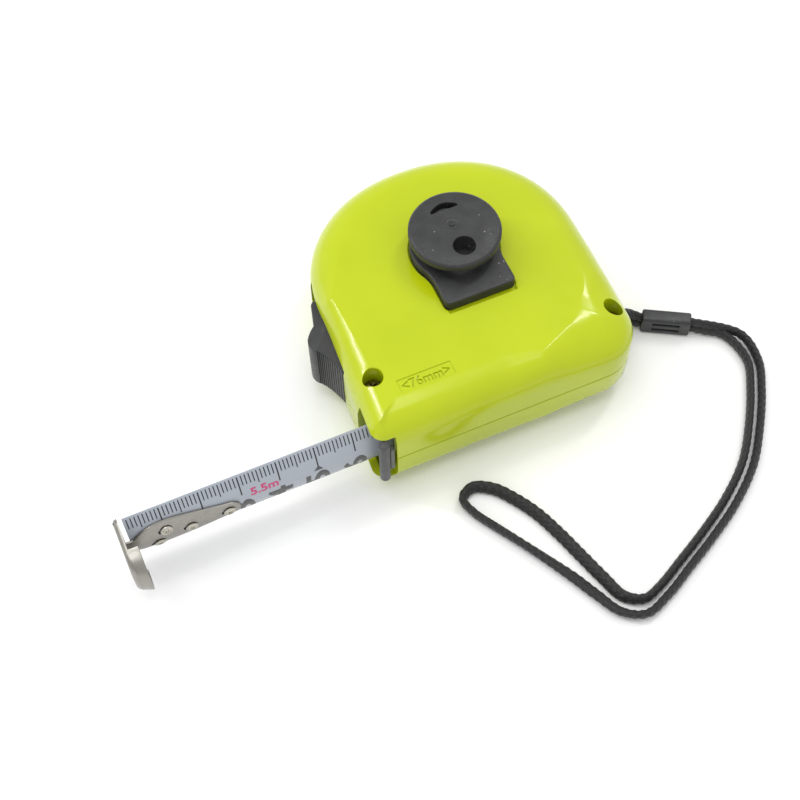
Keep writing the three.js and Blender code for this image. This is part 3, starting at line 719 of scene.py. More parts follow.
def make_ferrule():
    """The moulded block on the strap: two slots in its near side show the cord's ends."""
    length, width, height = 13.2, 4.0, 6.5
    radius = 1.0
    outline = []
    for side, top, quarter in ((1, 0, -0.5), (1, 1, 0), (-1, 1, 0.5), (-1, 0, 1)):
        cx = (width / 2 - radius) * side
        cy = height - radius if top else radius
        outline += arc(cx, cy, radius, quarter * pi, (quarter + 0.5) * pi, 6)
    body = prism("strap_ferrule_body", outline, -length / 2, length / 2, rounding=0.55, steps=5)
    place(body, Matrix(((0, 0, 1), (1, 0, 0), (0, 1, 0))).to_4x4())
    slot = rounded_box_outline(3.6, 0.55, 0.3)
    for z in (2.1, 4.4):
        rings = [
            [(x * g, y, z + w + (g - 1) * (3 if w > 0 else -3)) for x, w in slot]
            for y, g in ((-1.2, 0.97), (-1.75, 1.0), (-2.01, 1.05), (-2.6, 1.05))
        ]
        boolean(body, loft("slot", rings))
    trumpet = [(0, 0), (0.95, 0), (1.25, 1.3), (1.5, 1.6), (1.5, 2.2), (0, 2.2)]
    for end in (-1, 1):
        for z in (1.9, 4.8):
            mouth = revolve("hole", trumpet, steps=32)
            boolean(body, place(mouth, moved_by(end * (length / 2 - 1.6), 0, z) @ turned_by(90 * end, "Y")))
    low, high = node_box("strap_ferrule")
    middle = (low + high) / 2
    place(body, moved_by(middle.x, middle.y, 0) @ turned_by(FERRULE_TURN))
    return finish_piece(body, "case", FERRULE, "strap_ferrule")


ferrule = make_ferrule()
lay_cord("strap_loop_braid", "strap_loop", STRAP_ROUTE, STRAP_LEAN, 0.72, with_pieces=[ferrule])
lay_cord("strap_anchor_braid", "strap_anchor", ANCHOR_ROUTE, {0: 0}, 0.8)


# Case shells

# Width of the rounded top edge along the side outline, and the angle of the crease where it meets
# the flat side face, both by zone and by place in that zone
EDGE_WIDTH = {
    "dome": {0: 9, 0.86: 9, 0.94: 6.5, 1: 3.6},
    "front": {0: 3.6, 0.36: 5.2, 0.62: 6.0, 0.74: 5.2, 1: 5.6},
    "front_corner": {0: 5.6, 1: 9},
    "foot": {0: 9, 0.55: 9, 0.72: 6.2, 0.85: 9.8, 1: 13.2},
    "rear_corner": {0: 13.2, 1: 13.2},
    "rear": {0: 13.2, 0.165: 11.6, 0.274: 9.4, 0.36: 8.4, 0.5: 8.5, 0.85: 9, 1: 9},
}
EDGE_CREASE = {
    "dome": {0: 0, 0.86: 0, 0.96: 12, 1: 17},
    "front": {0: 17, 0.7: 18, 0.8: 14, 1: 10},
    "front_corner": {0: 10, 1: 0},
    "foot": {0: 0, 0.55: 0, 0.7: 5, 0.8: 9, 1: 9},
    "rear_corner": {0: 9, 1: 9},
    "rear": {0: 9, 0.3: 9, 0.5: 4, 0.7: 0, 1: 0},
}
CASE_ZONES = (
    ("dome", 120), ("front", 44), ("front_corner", 16), ("foot", 60), ("rear_corner", 24), ("rear", 40),
)
EDGE_STEPS = 14
CREASE_SOFTNESS = 0.34
CREASE_RINGS = (-0.4, 0.3, 0.8)
RIM_CHAMFER = 0.12
POST_SKIN = 0.6
LENGTH_MARK = (Vector((-29.7, -34.5)), Vector((-15.2, -30.6)))
PLATE_CLEARANCE = 0.15


def ease_in(t, reach):
    """Runs from 0 to 1 with no slope at its start, and is nearly straight after reach."""
    def soft(x):
        return x - reach * (1 - exp(-x / reach))

    return soft(t) / soft(1)


def case_point(zone, t, inset):
    """A point of the side outline, moved in by inset."""
    front_radius = max(FRONT_CORNER_RADIUS - inset, 0.6)
    rear_radius = max(REAR_CORNER_RADIUS - inset, 0.6)
    if zone == "dome":
        cos_a, sin_a = cos(pi * t), max(sin(pi * t), 0)
        across = copysign(abs(cos_a) ** (2 / DOME_POWER), cos_a)
        return (
            DOME_X + (DOME_HALF_LENGTH - inset) * across,
            DOME_Y + (DOME_HEIGHT - inset) * sin_a ** (2 / DOME_POWER),
        )
    if zone == "front_corner":
        cx, radius, start = FOOT_FRONT_X + inset + front_radius, front_radius, pi
    elif zone == "rear_corner":
        cx, radius, start = FOOT_REAR_X - inset - rear_radius, rear_radius, 1.5 * pi
    else:
        ends = {
            "front": (("dome", 1), ("front_corner", 0)),
            "foot": (("front_corner", 1), ("rear_corner", 0)),
            "rear": (("rear_corner", 1), ("dome", 0)),
        }[zone]
        a, b = (Vector(case_point(*end, inset)) for end in ends)
        share_x = {"front": ease_in(t, 0.12), "rear": 1 - ease_in(1 - t, 0.12)}.get(zone, t)
        return (a.x + (b.x - a.x) * share_x, a.y + (b.y - a.y) * t)
    angle = start + 0.5 * pi * t
    return (cx + radius * cos(angle), FOOT_Y + inset + radius * (1 + sin(angle)))


def edge_shape(zone, t, inset):
    """The width of the rounded edge and the angle of its crease, in radians."""
    width = interpolate(EDGE_WIDTH[zone], t) - inset
    return max(width, 1.5), radians(interpolate(EDGE_CREASE[zone], t))


def edge_drop(in_by, width, crease, height):
    """How far the rounded edge lies below the side face, in_by from the side outline."""
    sine = 1 - in_by * (1 - sin(crease)) / width
    return height * (1 - sqrt(max(1 - sine * sine, 0)) / cos(crease))


def case_half(name, inset, top, bottom, lip=0.0):
    """The upper half of the case body moved in by inset, from bottom up to top. lip chamfers its
    lower rim."""
    stations = [(zone, i / count) for zone, count in CASE_ZONES for i in range(count)]
    rings = [
        [(*case_point(zone, t, inset + lip), bottom) for zone, t in stations],
        [(*case_point(zone, t, inset), bottom + lip) for zone, t in stations],
    ]
    edges = [edge_shape(zone, t, inset) for zone, t in stations]

    def add_ring(reach, flat=False):
        ring = []
        for (zone, t), (width, crease) in zip(stations, edges):
            in_by = reach(width)
            drop = 0 if flat else edge_drop(in_by, width, crease, EDGE_RADIUS - inset)
            ring.append((*case_point(zone, t, inset + in_by), top - drop))
        rings.append(ring)

    for step in range(1, EDGE_STEPS + 1):
        share = 1 - cos(0.5 * pi * step / EDGE_STEPS)
        add_ring(lambda width: (width - CREASE_SOFTNESS) * share)
    # The crease itself is a narrow round between the rounded edge and the side face.
    for past in CREASE_RINGS:
        add_ring(lambda width: width + past * CREASE_SOFTNESS, flat=past > 0)
    return loft(name, rings)


def chamfered_hole(name, x, y, radius, floor, mouth_z, chamfer=0.22, steps=64):
    """A round cutter from floor up through mouth_z, opening out at the mouth."""
    top, wide = mouth_z + 12, radius + chamfer + 0.5
    start = [(0, floor), (radius, floor), (radius, mouth_z - chamfer)]
    return revolve(name, [*start, (wide, mouth_z + 0.5), (wide, top), (0, top)], x, y, steps)


def stud_plate_outline(grow):
    """The stud plate seen from above, moved out by grow: a disc that narrows to a straight tab."""
    radius = STUD_PLATE_RADIUS + grow
    half = STUD_TAB_HALF_WIDTH + grow
    end_y = PLATE_LOW.y - grow
    corner = 1.4
    shoulder = 0.12 * pi
    right = (radius * cos(shoulder), -radius * sin(shoulder))
    points = arc(0, 0, radius, -shoulder, pi + shoulder, 60)
    points += bezier((-right[0], right[1]), (-half, -6.6), (-half, -9.5), 10)
    points += arc(-half + corner, end_y + corner, corner, pi, 1.5 * pi, 8)
    points += arc(half - corner, end_y + corner, corner, 1.5 * pi, 2 * pi, 8)
    return [*points, (half, -9.5), *bezier((half, -9.5), (half, -6.6), right, 10)[:-1]]


def upright(piece):
    return piece


def mirrored(piece):
    """Turns an upper half into the lower half that faces it."""
    place(piece, Matrix.Translation((0, 0, CASE_TOP * MM)) @ Matrix.Diagonal((1, 1, -1, 1)))
    tidy_normals(piece.data)
    return piece


def hollow_half(name, turned):
    """Half of the case as a shell of even thickness. turned puts an upper half in its place."""
    shell = turned(case_half(name, 0, CASE_TOP, MID_Z + PARTING_GAP / 2, RIM_CHAMFER))
    return boolean(shell, turned(case_half("cavity", WALL, CASE_TOP - WALL, MID_Z - 1)))


def join_post(shell, post, turned):
    """Joins a post to a shell without letting it stand out of the shell's skin."""
    inside = turned(case_half("inside", POST_SKIN, CASE_TOP - POST_SKIN, MID_Z + 0.2))
    boolean(shell, boolean(post, inside, "INTERSECT"), "UNION")


def cut_front_openings(shell):
    low, high = MOUTH_Z
    rings = []
    for x, g in ((MOUTH_FOOT_X, 0), (-38.6, 0), (-40.2, 0.12), (-41.3, 0.5), (-48, 4.2)):
        corners = ((-60, low - g), (MOUTH_TOP_Y + g, low - g), (MOUTH_TOP_Y + g, high + g), (-60, high + g))
        rings.append([(x, y, z) for y, z in corners])
    boolean(shell, loft("mouth", rings))
    low, high = LOCK_SLOT_Y
    boolean(shell, block("lock_slot", (-60, low, LOCK_Z[0] - 0.3), (-32, high, LOCK_Z[1] + 0.3)))


def make_upper_shell():
    shell = hollow_half("case_upper", upright)
    for screw in SCREWS.values():
        x, y = screw["x"], screw["y"]
        floor = screw["head_top"] - SEAT_UNDER_HEAD
        seat = cylinder("seat", SEAT_RADIUS, floor - 3, SEAT_TOP, x, y)
        boolean(seat, cylinder("boss", screw["boss"], MID_Z + 0.2, floor, x, y), "UNION")
        join_post(shell, seat, upright)
        boolean(shell, chamfered_hole("hole", x, y, SCREW_HOLE_RADIUS, floor, CASE_TOP))
        boolean(shell, cylinder("bore", SCREW_BORE_RADIUS, MID_Z - 2, floor + 0.1, x, y, 32))
    cut_front_openings(shell)
    levels = ((0, PLATE_LOW.z), (0, CASE_TOP - 0.25), (0.75, CASE_TOP + 0.5), (0.75, CASE_TOP + 4))
    outline = stud_plate_outline(PLATE_CLEARANCE)
    boolean(shell, inset_loft("recess", outline, [(-grow, z) for grow, z in levels]))
    notch_middle = (0.1, PLATE_LOW.y - PLATE_CLEARANCE)
    boolean(shell, flared_box("pry_notch", notch_middle, (9.4, 0.9), 0.4, levels))
    add_length_mark(shell)
    finish_piece(shell, "case", LIME, "case_shell_upper", smooth=24)


def text_mesh(words, size, depth, weight, name="words"):
    """Built-in lettering as a closed mesh lying in the x, y plane, in metres, with its lower face
    at z = 0. weight thickens its strokes."""
    curve = bpy.data.curves.new(name, "FONT")
    curve.body = words
    curve.size = size * MM
    curve.extrude = depth * MM / 2
    curve.offset = weight * MM
    curve.resolution_u = 6
    made = add_object(name, curve)
    graph = bpy.context.evaluated_depsgraph_get()
    mesh = bpy.data.meshes.new_from_object(made.evaluated_get(graph))
    bpy.data.objects.remove(made)
    work = bmesh.new()
    work.from_mesh(mesh)
    bmesh.ops.remove_doubles(work, verts=work.verts, dist=1e-7)
    bmesh.ops.translate(work, verts=work.verts, vec=(0, 0, depth * MM / 2))
    work.to_mesh(mesh)
    work.free()
    return mesh


def fit_mesh(mesh, low, high):
    """Scales and moves a mesh in x and y so that it fills a box given in millimetres."""
    xs = [v.co.x for v in mesh.vertices]
    ys = [v.co.y for v in mesh.vertices]
    scale_x = (high[0] - low[0]) * MM / (max(xs) - min(xs))
    scale_y = (high[1] - low[1]) * MM / (max(ys) - min(ys))
    for v in mesh.vertices:
        v.co.x = low[0] * MM + (v.co.x - min(xs)) * scale_x
        v.co.y = low[1] * MM + (v.co.y - min(ys)) * scale_y
    return mesh


def add_length_mark(shell):
    """A shallow panel with the length of the case, for inside measurements, in sunk figures."""
    low, high = LENGTH_MARK
    levels = ((0, CASE_TOP - 0.28), (0.03, CASE_TOP - 0.06), (0.4, CASE_TOP + 0.3))
    boolean(shell, flared_box("panel", (low + high) / 2, (high - low) / 2, 0.25, levels, steps=3))
    figures = text_mesh(f"<{FOOT_LENGTH}mm>", 4, 0.6, 0.05)
    fit_mesh(figures, (low.x + 0.8, low.y + 0.6), (high.x - 0.8, high.y - 0.5))
    sunk = add_object("figures", figures)
    boolean(shell, place(sunk, Matrix.Translation((0, 0, (CASE_TOP - 0.66) * MM))))


def make_lower_shell():
    shell = hollow_half("case_lower", mirrored)
    for screw in SCREWS.values():
        x, y = screw["x"], screw["y"]
        join_post(shell, cylinder("post", screw["boss"], 1, MID_Z - 0.2, x, y), mirrored)
        boolean(shell, cylinder("bore", SCREW_BORE_RADIUS, 4, MID_Z + 2, x, y, 32))
    cut_front_openings(shell)
    notch = block("strap_notch", (30.5, -37.2, 9), (40, -23.5, MID_Z + 1))
    rear = SCREWS["rear"]
    boolean(notch, cylinder("around_post", rear["boss"], 0, MID_Z + 3, rear["x"], rear["y"]))
    boolean(shell, notch)
    finish_piece(shell, "case", LIME, "case_shell_lower", smooth=24)


make_upper_shell()
make_lower_shell()


# Screws


def make_screw(name, screw):
    """A pan-head tapping screw with a cross recess."""
    top, radius = screw["head_top"], SCREW_HEAD_RADIUS
    seat = top - 2
    profile = [(0, 5), (0.3, 5.1), (0.75, 6.2)]
    z = 6.4
    while z < seat - 1.2:
        profile += [(0.8, z), (1.08, z + 0.3), (0.8, z + 0.6)]
        z += 0.7
    profile += [
        (0.85, seat), (radius - 0.12, seat), (radius, seat + 0.14), (radius, top - 0.85),
        (radius - 0.1, top - 0.62), (radius - 0.45, top - 0.28), (radius - 1.1, top - 0.06),
        (radius - 1.7, top), (0, top),
    ]
    head = revolve("case_screw_" + name + "_metal", profile, screw["x"], screw["y"], 64)
    for turn in (20, 110):
        rings = [
            [(x, y, z) for x, y in ((-r, -w), (r, -w), (r, w), (-r, w))]
            for z, r, w in ((top - 1.25, 0.45, 0.2), (top - 0.35, 1.3, 0.3), (top + 0.5, 1.55, 0.36))
        ]
        boolean(head, place(loft("arm", rings), moved_by(screw["x"], screw["y"], 0) @ turned_by(turn)))
    finish_piece(head, "case", SCREW, "case_screw_" + name)


for screw_name, screw in SCREWS.items():
    make_screw(screw_name, screw)


# Stud


def crescent():
    """The slot in the disc: a straight lower edge and a bowed upper one."""
    half, low, end, top = 3.75, 6.4, 7.0, 8.6
    shoulder, tip = half - 0.5, (half - 0.1, end + 0.1)
    points = [(-shoulder, low), (shoulder, low)]
    points += bezier((shoulder, low), (half + 0.25, low + 0.02), tip, 6)
    points += bezier(tip, (0, 2 * top - end - 0.1), (-tip[0], tip[1]), 18)
    return points + bezier((-tip[0], tip[1]), (-half - 0.25, low + 0.02), (-shoulder, low), 6)[:-1]


def make_stud():
    plate = prism("stud_plate_moulding", stud_plate_outline(-0.1), PLATE_LOW.z, PLATE_HIGH.z, 0.4)
    finish_piece(plate, "case", STUD, "stud_plate")

    low, high = PLATE_HIGH.z, DISC_LOW.z
    fillet = [
        (NECK_RADIUS + 0.5 * (1 - sin(a)), 0.5 * (1 - cos(a))) for a in (0.0, 0.4, 0.8, 1.2, 1.57)
    ]
    profile = [(0, low), *((r, low + z) for r, z in fillet)]
    profile += [*((r, high - z) for r, z in reversed(fillet)), (0, high)]
    neck = revolve("stud_neck_moulding", profile)
    boolean(neck, cylinder("hole", STUD_HOLE_RADIUS, low + 0.6, high + 1, *STUD_HOLE, 64))
    finish_piece(neck, "case", STUD, "stud_neck")

    bottom, top = DISC_LOW.z, DISC_HIGH.z
    rim = DISC_HIGH.x
    profile = [
        (0, bottom), (rim - 0.7, bottom), (rim - 0.3, bottom + 0.12), (rim, bottom + 0.5),
        (rim, top - 0.62), (rim - 0.1, top - 0.42), (rim - 0.6, top - 0.06), (rim - 0.75, top), (0, top),
    ]
    disc = revolve("stud_disc_moulding", profile, steps=160)
    boolean(disc, chamfered_hole("hole", *STUD_HOLE, STUD_HOLE_RADIUS, bottom - 1, top, 0.14, 80))
    slot_levels = ((0, bottom - 1), (0, top - 0.12), (-0.5, top + 0.4))
    boolean(disc, inset_loft("crescent", crescent(), slot_levels))
    dish = [
        (0, top - 0.4), (0.7, top - 0.4), (0.95, top - 0.22), (1.3, top - 0.22), (1.45, top - 0.12),
        (1.9, top - 0.1), (2.15, top + 0.1), (2.3, top + 1), (0, top + 1),
    ]
    boolean(disc, revolve("dish", dish, -0.05, 1.45, 64))
    gate = [(0, top - 0.6), (0.48, top - 0.6), (0.4, top - 0.1), (0.28, top - 0.04), (0, top - 0.08)]
    boolean(disc, revolve("gate", gate, -0.1, 1.5, 24), "UNION")
    finish_piece(disc, "case", STUD, "stud_disc")


make_stud()


# Lock button


def make_lock_button():
    back = -34.0
    upper = [(-41.1, -3.2)]
    upper += bezier((-41.1, -3.2), (-43.2, -4.8), (-44.1, -6.6), 8)
    upper += bezier((-44.1, -6.6), (-44.9, -8.6), (-43.7, -10.3), 8)
    slope = bezier((-43.7, -10.3), (-41.4, -12.4), (-39.4, -19.2), GROOVE_STEPS * LOCK_GROOVES)
    outline = [(back, 3.6), (-38.7, 3.8), (-39.4, 3.1), *upper, *slope, (back, -19.2)]
    button = prism("lock_button_moulding", outline, *LOCK_Z, rounding=0.3, steps=3)
    low, high = LOCK_Z[0] - 1.2, LOCK_Z[1] + 1.2
    shield = rounded_box_at(SHIELD_MIDDLE, 0.5, 10.15, 0.3, 3)
    boolean(button, prism("shield", shield, low, high, 0.2, 2), "UNION")
    # The first groove stays clear of the nose.
    for i in range(FIRST_GROOVE, GROOVE_STEPS * LOCK_GROOVES, GROOVE_STEPS):
        bottom = Vector(slope[i]).lerp(Vector(slope[i + 1]), 0.4)
        along = (Vector(slope[i + 1]) - Vector(slope[i])).normalized()
        out = Vector((along.y, -along.x))
        sides = [bottom + 0.3 * along + 0.2 * out, bottom - 0.3 * along + 0.2 * out]
        groove = [bottom - GROOVE_DEPTH * out, *sides]
        boolean(button, prism("groove", groove, 0, 30))
    finish_piece(button, "lock", LOCK, "lock_button", smooth=28)


make_lock_button()


# Mouth


def make_mouth():
    low, high = (corner.z for corner in node_box("mouth_bumper"))
    turns = (0, 0.4, 0.8, 1.15, 1.4, 1.57)
    end = [(BUMPER_RADIUS * sin(a), BUMPER_RADIUS * 0.45 * (1 - cos(a))) for a in turns]
    profile = [(r, low + z) for r, z in end] + [(r, high - z) for r, z in reversed(end)]
    bumper = revolve("mouth_bumper_rubber", profile, *BUMPER_MIDDLE, 48)
    finish_piece(bumper, "case", RUBBER, "mouth_bumper", smooth=50)

    low, high = node_box("bumper_block")
    half, middle = (high - low) / 2, (high + low) / 2
    outline = rounded_box_at(middle, half.x, half.y, 0.35)
    holder = prism("bumper_block_moulding", outline, low.z, high.z, 0.25)
    finish_piece(holder, "case", GREY, "bumper_block")

    pad = rounded_box_at(BRAKE_PAD_MIDDLE, 2.3, 1.15, 0.4)
    shoe = prism("brake_shoe_moulding", pad, 10, 19.5, 0.3)
    stem_middle = (BRAKE_STEM_X, node_box("brake_shoe")[1].y - 1.5)
    stem = rounded_box_at(stem_middle, 1.8, 1.5, 0.3)
    boolean(shoe, prism("stem", stem, 12, 17.5, 0.2), "UNION")
    finish_piece(shoe, "brake", GREY, "brake_shoe")


make_mouth()


# Blade


def on_blade(x, around, radius):
    """The point at an arc length from the blade's crown, at a radius from its centre of curvature."""
    angle = around / BLADE_RADIUS
    return (x, BLADE_AXIS_Y - radius * cos(angle), MID_Z + radius * sin(angle))


def make_blade():
    half = BLADE_RADIUS * BLADE_HALF_ANGLE
    lengths, steps = 24, 48
    arcs = [-half + 2 * half * j / steps for j in range(steps + 1)]
    outer, inner = BLADE_RADIUS, BLADE_RADIUS - BLADE_THICKNESS
    rings = []
    for i in range(lengths + 1):
        x = BLADE_LOW.x + (BLADE_HIGH.x - BLADE_LOW.x) * i / lengths
        rings.append([on_blade(x, s, outer) for s in arcs] + [on_blade(x, s, inner) for s in reversed(arcs)])
    blade = loft("blade_strip_steel", rings)
    finish_piece(blade, "blade_strip", BLADE, "blade", smooth=50)


def printed_strip(rows):
    """The points and faces of a closed thin sheet bent onto the blade. Each row is (lowest x,
    highest x, around), and the rows run towards the blade's upper edge."""
    inner, outer = BLADE_RADIUS, BLADE_RADIUS + INK_DEPTH
    points = []
    for low, high, around in rows:
        corners = ((low, inner), (high, inner), (high, outer), (low, outer))
        points += [on_blade(x, around, radius) for x, radius in corners]
    faces = [(0, 1, 2, 3)]
    for a in range(0, len(points) - 4, 4):
        for i, j in ((0, 1), (1, 2), (2, 3), (3, 0)):
            faces.append((a + j, a + i, a + 4 + i, a + 4 + j))
    last = len(points) - 4
    faces.append((last + 3, last + 2, last + 1, last))
    return points, faces


def make_print(name, strips, material):
    """One printed colour: many small closed sheets in one mesh."""
    vertices, faces = [], []
    for rows in strips:
        start = len(vertices)
        points, sides = printed_strip(rows)
        vertices += points
        faces += [[start + i for i in face] for face in sides]
    printed = make_object(name, vertices, faces, turned_out=True)
    finish_piece(printed, "blade_strip", material)


def tick(x, width, start, end):
    """A tick across the blade, in pieces short enough to follow its curve."""
    pieces = round((end - start) / 0.6)
    return [(x - width / 2, x + width / 2, start + (end - start) * i / pieces) for i in range(pieces + 1)]


def make_scale():
    ticks = []
    for k in range(FIRST_TICK, LAST_TICK + 1):
        inner_end = 3.1 if k % 10 == 0 else 5.3 if k % 5 == 0 else 6.1
        width = 0.34 if k % 10 == 0 else 0.27
        x = SCALE_ZERO_X + k
        ticks.append(tick(x, width, inner_end, TICK_END))
        ticks.append(tick(x, width, -TICK_END, -inner_end))
    make_print("blade_ticks", ticks, BLACK_INK)
    x = SCALE_ZERO_X + ARROW_AT
    base, apex = 1.4, 3.2
    halves = [(i, 1.2 * (1 - i / 4) + 0.02) for i in range(5)]
    arrow = [(x - half, x + half, base + (apex - base) * i / 4) for i, half in halves]
    make_print("blade_arrow", [arrow], GREY_INK)


def bent_text(name, words, x, around, height, width, turned, material):
    """Lettering bent onto the blade with its middle at x, around. Turned lettering has its tops
    towards the hook, and the other kind has its tops towards the upper edge."""
    mesh = text_mesh(words, 10, INK_DEPTH, 0.3, name)
    fit_mesh(mesh, (-width / 2, -height / 2), (width / 2, height / 2))
    work = bmesh.new()
    work.from_mesh(mesh)
    for i in range(-24, 25):
        for axis in (Vector((1, 0, 0)), Vector((0, 1, 0))):
            parts = work.verts[:] + work.edges[:] + work.faces[:]
            bmesh.ops.bisect_plane(work, geom=parts, plane_co=axis * i * 0.5 * MM, plane_no=axis, dist=1e-7)
    for vertex in work.verts:
        tx, ty, tz = vertex.co / MM
        along, up = (-ty, tx) if turned else (tx, ty)
        vertex.co = Vector(on_blade(x + along, around + up, BLADE_RADIUS + tz)) * MM
    work.to_mesh(mesh)
    work.free()
    finish_piece(add_object(name, mesh), "blade_strip", material)


def make_lettering():
    for figure in SCALE_FIGURES:
        x = SCALE_ZERO_X + 10 * figure - 0.3
        bent_text(f"blade_figure_{figure}", str(figure), x, -3.6, 6.4, 8.6, True, GREY_INK)
    bent_text("blade_length_words", "5.5m", SCALE_ZERO_X + 35.85, 2.9, 2.9, 7.3, False, RED_INK)


make_blade()
make_scale()
make_lettering()


# Hook


def leaf_half():
    """(along, half width) of the leaf seen from above, from the claw to its tail."""
    neck, belly, tail = 2.6, 5.5, 2.9
    taper = LEAF_END - 3.5
    points = [(-0.4, neck), (1.8, neck)]
    points += bezier((1.8, neck), (4.6, belly), (10, belly), 14)
    points += bezier((10, belly), (14, belly), (19, tail + 1.2), 18, (taper, tail))
    points += bezier((taper, tail), (LEAF_END, tail - 0.4), (LEAF_END, 0.12), 14)
    return points


def make_leaf():
    """The leaf that lies on the blade, with softened borders."""
    inner, outer = LEAF_RADIUS, LEAF_RADIUS + LEAF_SHEET
    soft = 0.16
    steps = 20
    rings = []
    for along, half_width in leaf_half():
        x = SCALE_ZERO_X + along
        half = BLADE_RADIUS * asin(half_width / outer)
        border = min(soft, half * 0.4)
        across = [-half + border + 2 * (half - border) * j / steps for j in range(steps + 1)]
        top = [on_blade(x, s, outer) for s in across]
        edge_high = [on_blade(x, half - 0.3 * border, outer - 0.3 * soft), on_blade(x, half, outer - soft)]
        edge_low = [on_blade(x, -half, outer - soft), on_blade(x, -half + 0.3 * border, outer - 0.3 * soft)]
        under = [on_blade(x, s, inner) for s in reversed([-half, *across[1:-1], half])]
        rings.append(top + edge_high + under + edge_low)
    return loft("end_hook_steel", rings)


def across_x(name, outline, levels):
    """Lofts a (z, y) outline along X through (inset, x) levels."""
    rings = [[(x, y, z) for z, y in inset_loop(outline, inset)] for inset, x in levels]
    return loft(name, rings)


def claw_outline(half_width, top_y):
    """The claw seen along the blade, as (z, y) points: straight sides and a round lower end."""
    points = arc(MID_Z, CLAW_TOP_Y, half_width, pi, 2 * pi, 40)
    return [*points, (MID_Z + half_width, top_y), (MID_Z - half_width, top_y)]


def front_outline():
    """The claw's front plate: the blade's end arc above, tapering sides, round below."""
    radius, reach = BLADE_RADIUS - 0.7, BLADE_HALF_ANGLE + 0.02
    down = -0.5 * pi
    above = arc(MID_Z, BLADE_AXIS_Y, radius, down + reach, down - reach, 40)
    below = arc(MID_Z, CLAW_TOP_Y, CLAW_HALF_WIDTH, pi, 2 * pi, 40)
    return [*above, (MID_Z - SHOULDER_OUT, SHOULDER_Y), *below, (MID_Z + SHOULDER_OUT, SHOULDER_Y)]


def lift_toe(piece):
    """Rounds the claw's lower front edge: the points nearest its front move up the most."""
    outer = SCALE_ZERO_X - HOOK_SHEET
    for vertex in piece.data.vertices:
        x, y = vertex.co.x / MM, vertex.co.y / MM
        low = max(CLAW_TOP_Y - y, 0) / CLAW_HALF_WIDTH
        near = max(1 - (x - outer) / CLAW_TOE_DEPTH, 0)
        vertex.co.y += CLAW_TOE_LIFT * low**2 * near * MM


def make_hook():
    leaf = make_leaf()
    slot = rounded_box_at((-0.5, 0), 1.6, 1.06, 1.0, 8)
    for along, angle in RIVETS.values():
        boolean(leaf, place(prism("slot", slot, 12, 17), pin_frame(SCALE_ZERO_X + along, angle)))
    outer = SCALE_ZERO_X - HOOK_SHEET
    bend = 1.05
    turns = (0.0, 0.3, 0.6, 0.9, 1.2, 1.57)
    plate_levels = [(bend * (1 - sin(a)), outer + bend * (1 - cos(a))) for a in turns]
    front = across_x("front", front_outline(), [*plate_levels, (0, SCALE_ZERO_X)])
    rim_x = SCALE_ZERO_X + CLAW_RIM_DEPTH
    rim_levels = [(0.06, SCALE_ZERO_X - 0.1), (0.06, rim_x - 0.25), (0.12, rim_x - 0.06), (0.3, rim_x)]
    rim = across_x("rim", claw_outline(CLAW_HALF_WIDTH, CLAW_TOP_Y + 0.4), rim_levels)
    inner_outline = claw_outline(CLAW_HALF_WIDTH - HOOK_SHEET, CLAW_TOP_Y + 2)
    boolean(rim, across_x("hollow", inner_outline, [(0, outer), (0, rim_x + 1)]))
    boolean(front, rim, "UNION")
    boolean(leaf, front, "UNION")
    lift_toe(leaf)
    finish_piece(leaf, "hook", HOOK_STEEL, "end_hook", smooth=30)


def pin_frame(x, angle):
    """The frame at a rivet: its third axis points straight out of the blade's face."""
    out = Vector((0, -cos(angle), sin(angle)))
    along = Vector((1, 0, 0))
    across = out.cross(along)
    turn = Matrix((along, across, out)).transposed().to_4x4()
    return moved_by(x, BLADE_AXIS_Y, MID_Z) @ turn


def make_rivet(name, along, angle):
    low = LEAF_RADIUS + LEAF_SHEET + 0.1
    inner = BLADE_RADIUS - BLADE_THICKNESS
    profile = [
        (0, inner - 0.6), (1.15, inner - 0.58), (1.3, inner - 0.45), (1.3, inner - 0.3), (0.8, inner - 0.3),
        (0.8, low), (1.58, low), (1.6, low + 0.1), (1.52, low + 0.25), (1.3, low + 0.34),
        (1.14, low + 0.35), (1.05, low + 0.27), (0.94, low + 0.36), (0.5, low + 0.47), (0, low + 0.5),
    ]
    body = revolve(name + "_steel", profile, steps=56)
    bite = rounded_box_outline(0.72, 0.15, 0.1, 3)
    for turn in (35, 125):
        cutter = prism("bite", bite, low + 0.3, low + 2)
        boolean(body, place(cutter, turned_by(turn)))
    place(body, pin_frame(SCALE_ZERO_X + along, angle))
    finish_piece(body, "blade_strip", RIVET_STEEL, name)


make_hook()
for rivet_name, (rivet_along, rivet_angle) in RIVETS.items():
    make_rivet(rivet_name, rivet_along, rivet_angle)


# Reel


def spiral_strip(name, inner, outer, thickness, low, high, turns, steps=64):
    """A strip wound on edge round the reel's axis, as one closed band."""
    count = round(turns * steps)
    rings = []
    for i in range(count + 1):
        angle = 2 * pi * i / steps
        radius = inner + (outer - inner - thickness) * i / count
        corners = ((radius, low), (radius + thickness, low), (radius + thickness, high), (radius, high))
        rings.append([(r * cos(angle), r * sin(angle), z) for r, z in corners])
    return loft(name, rings)


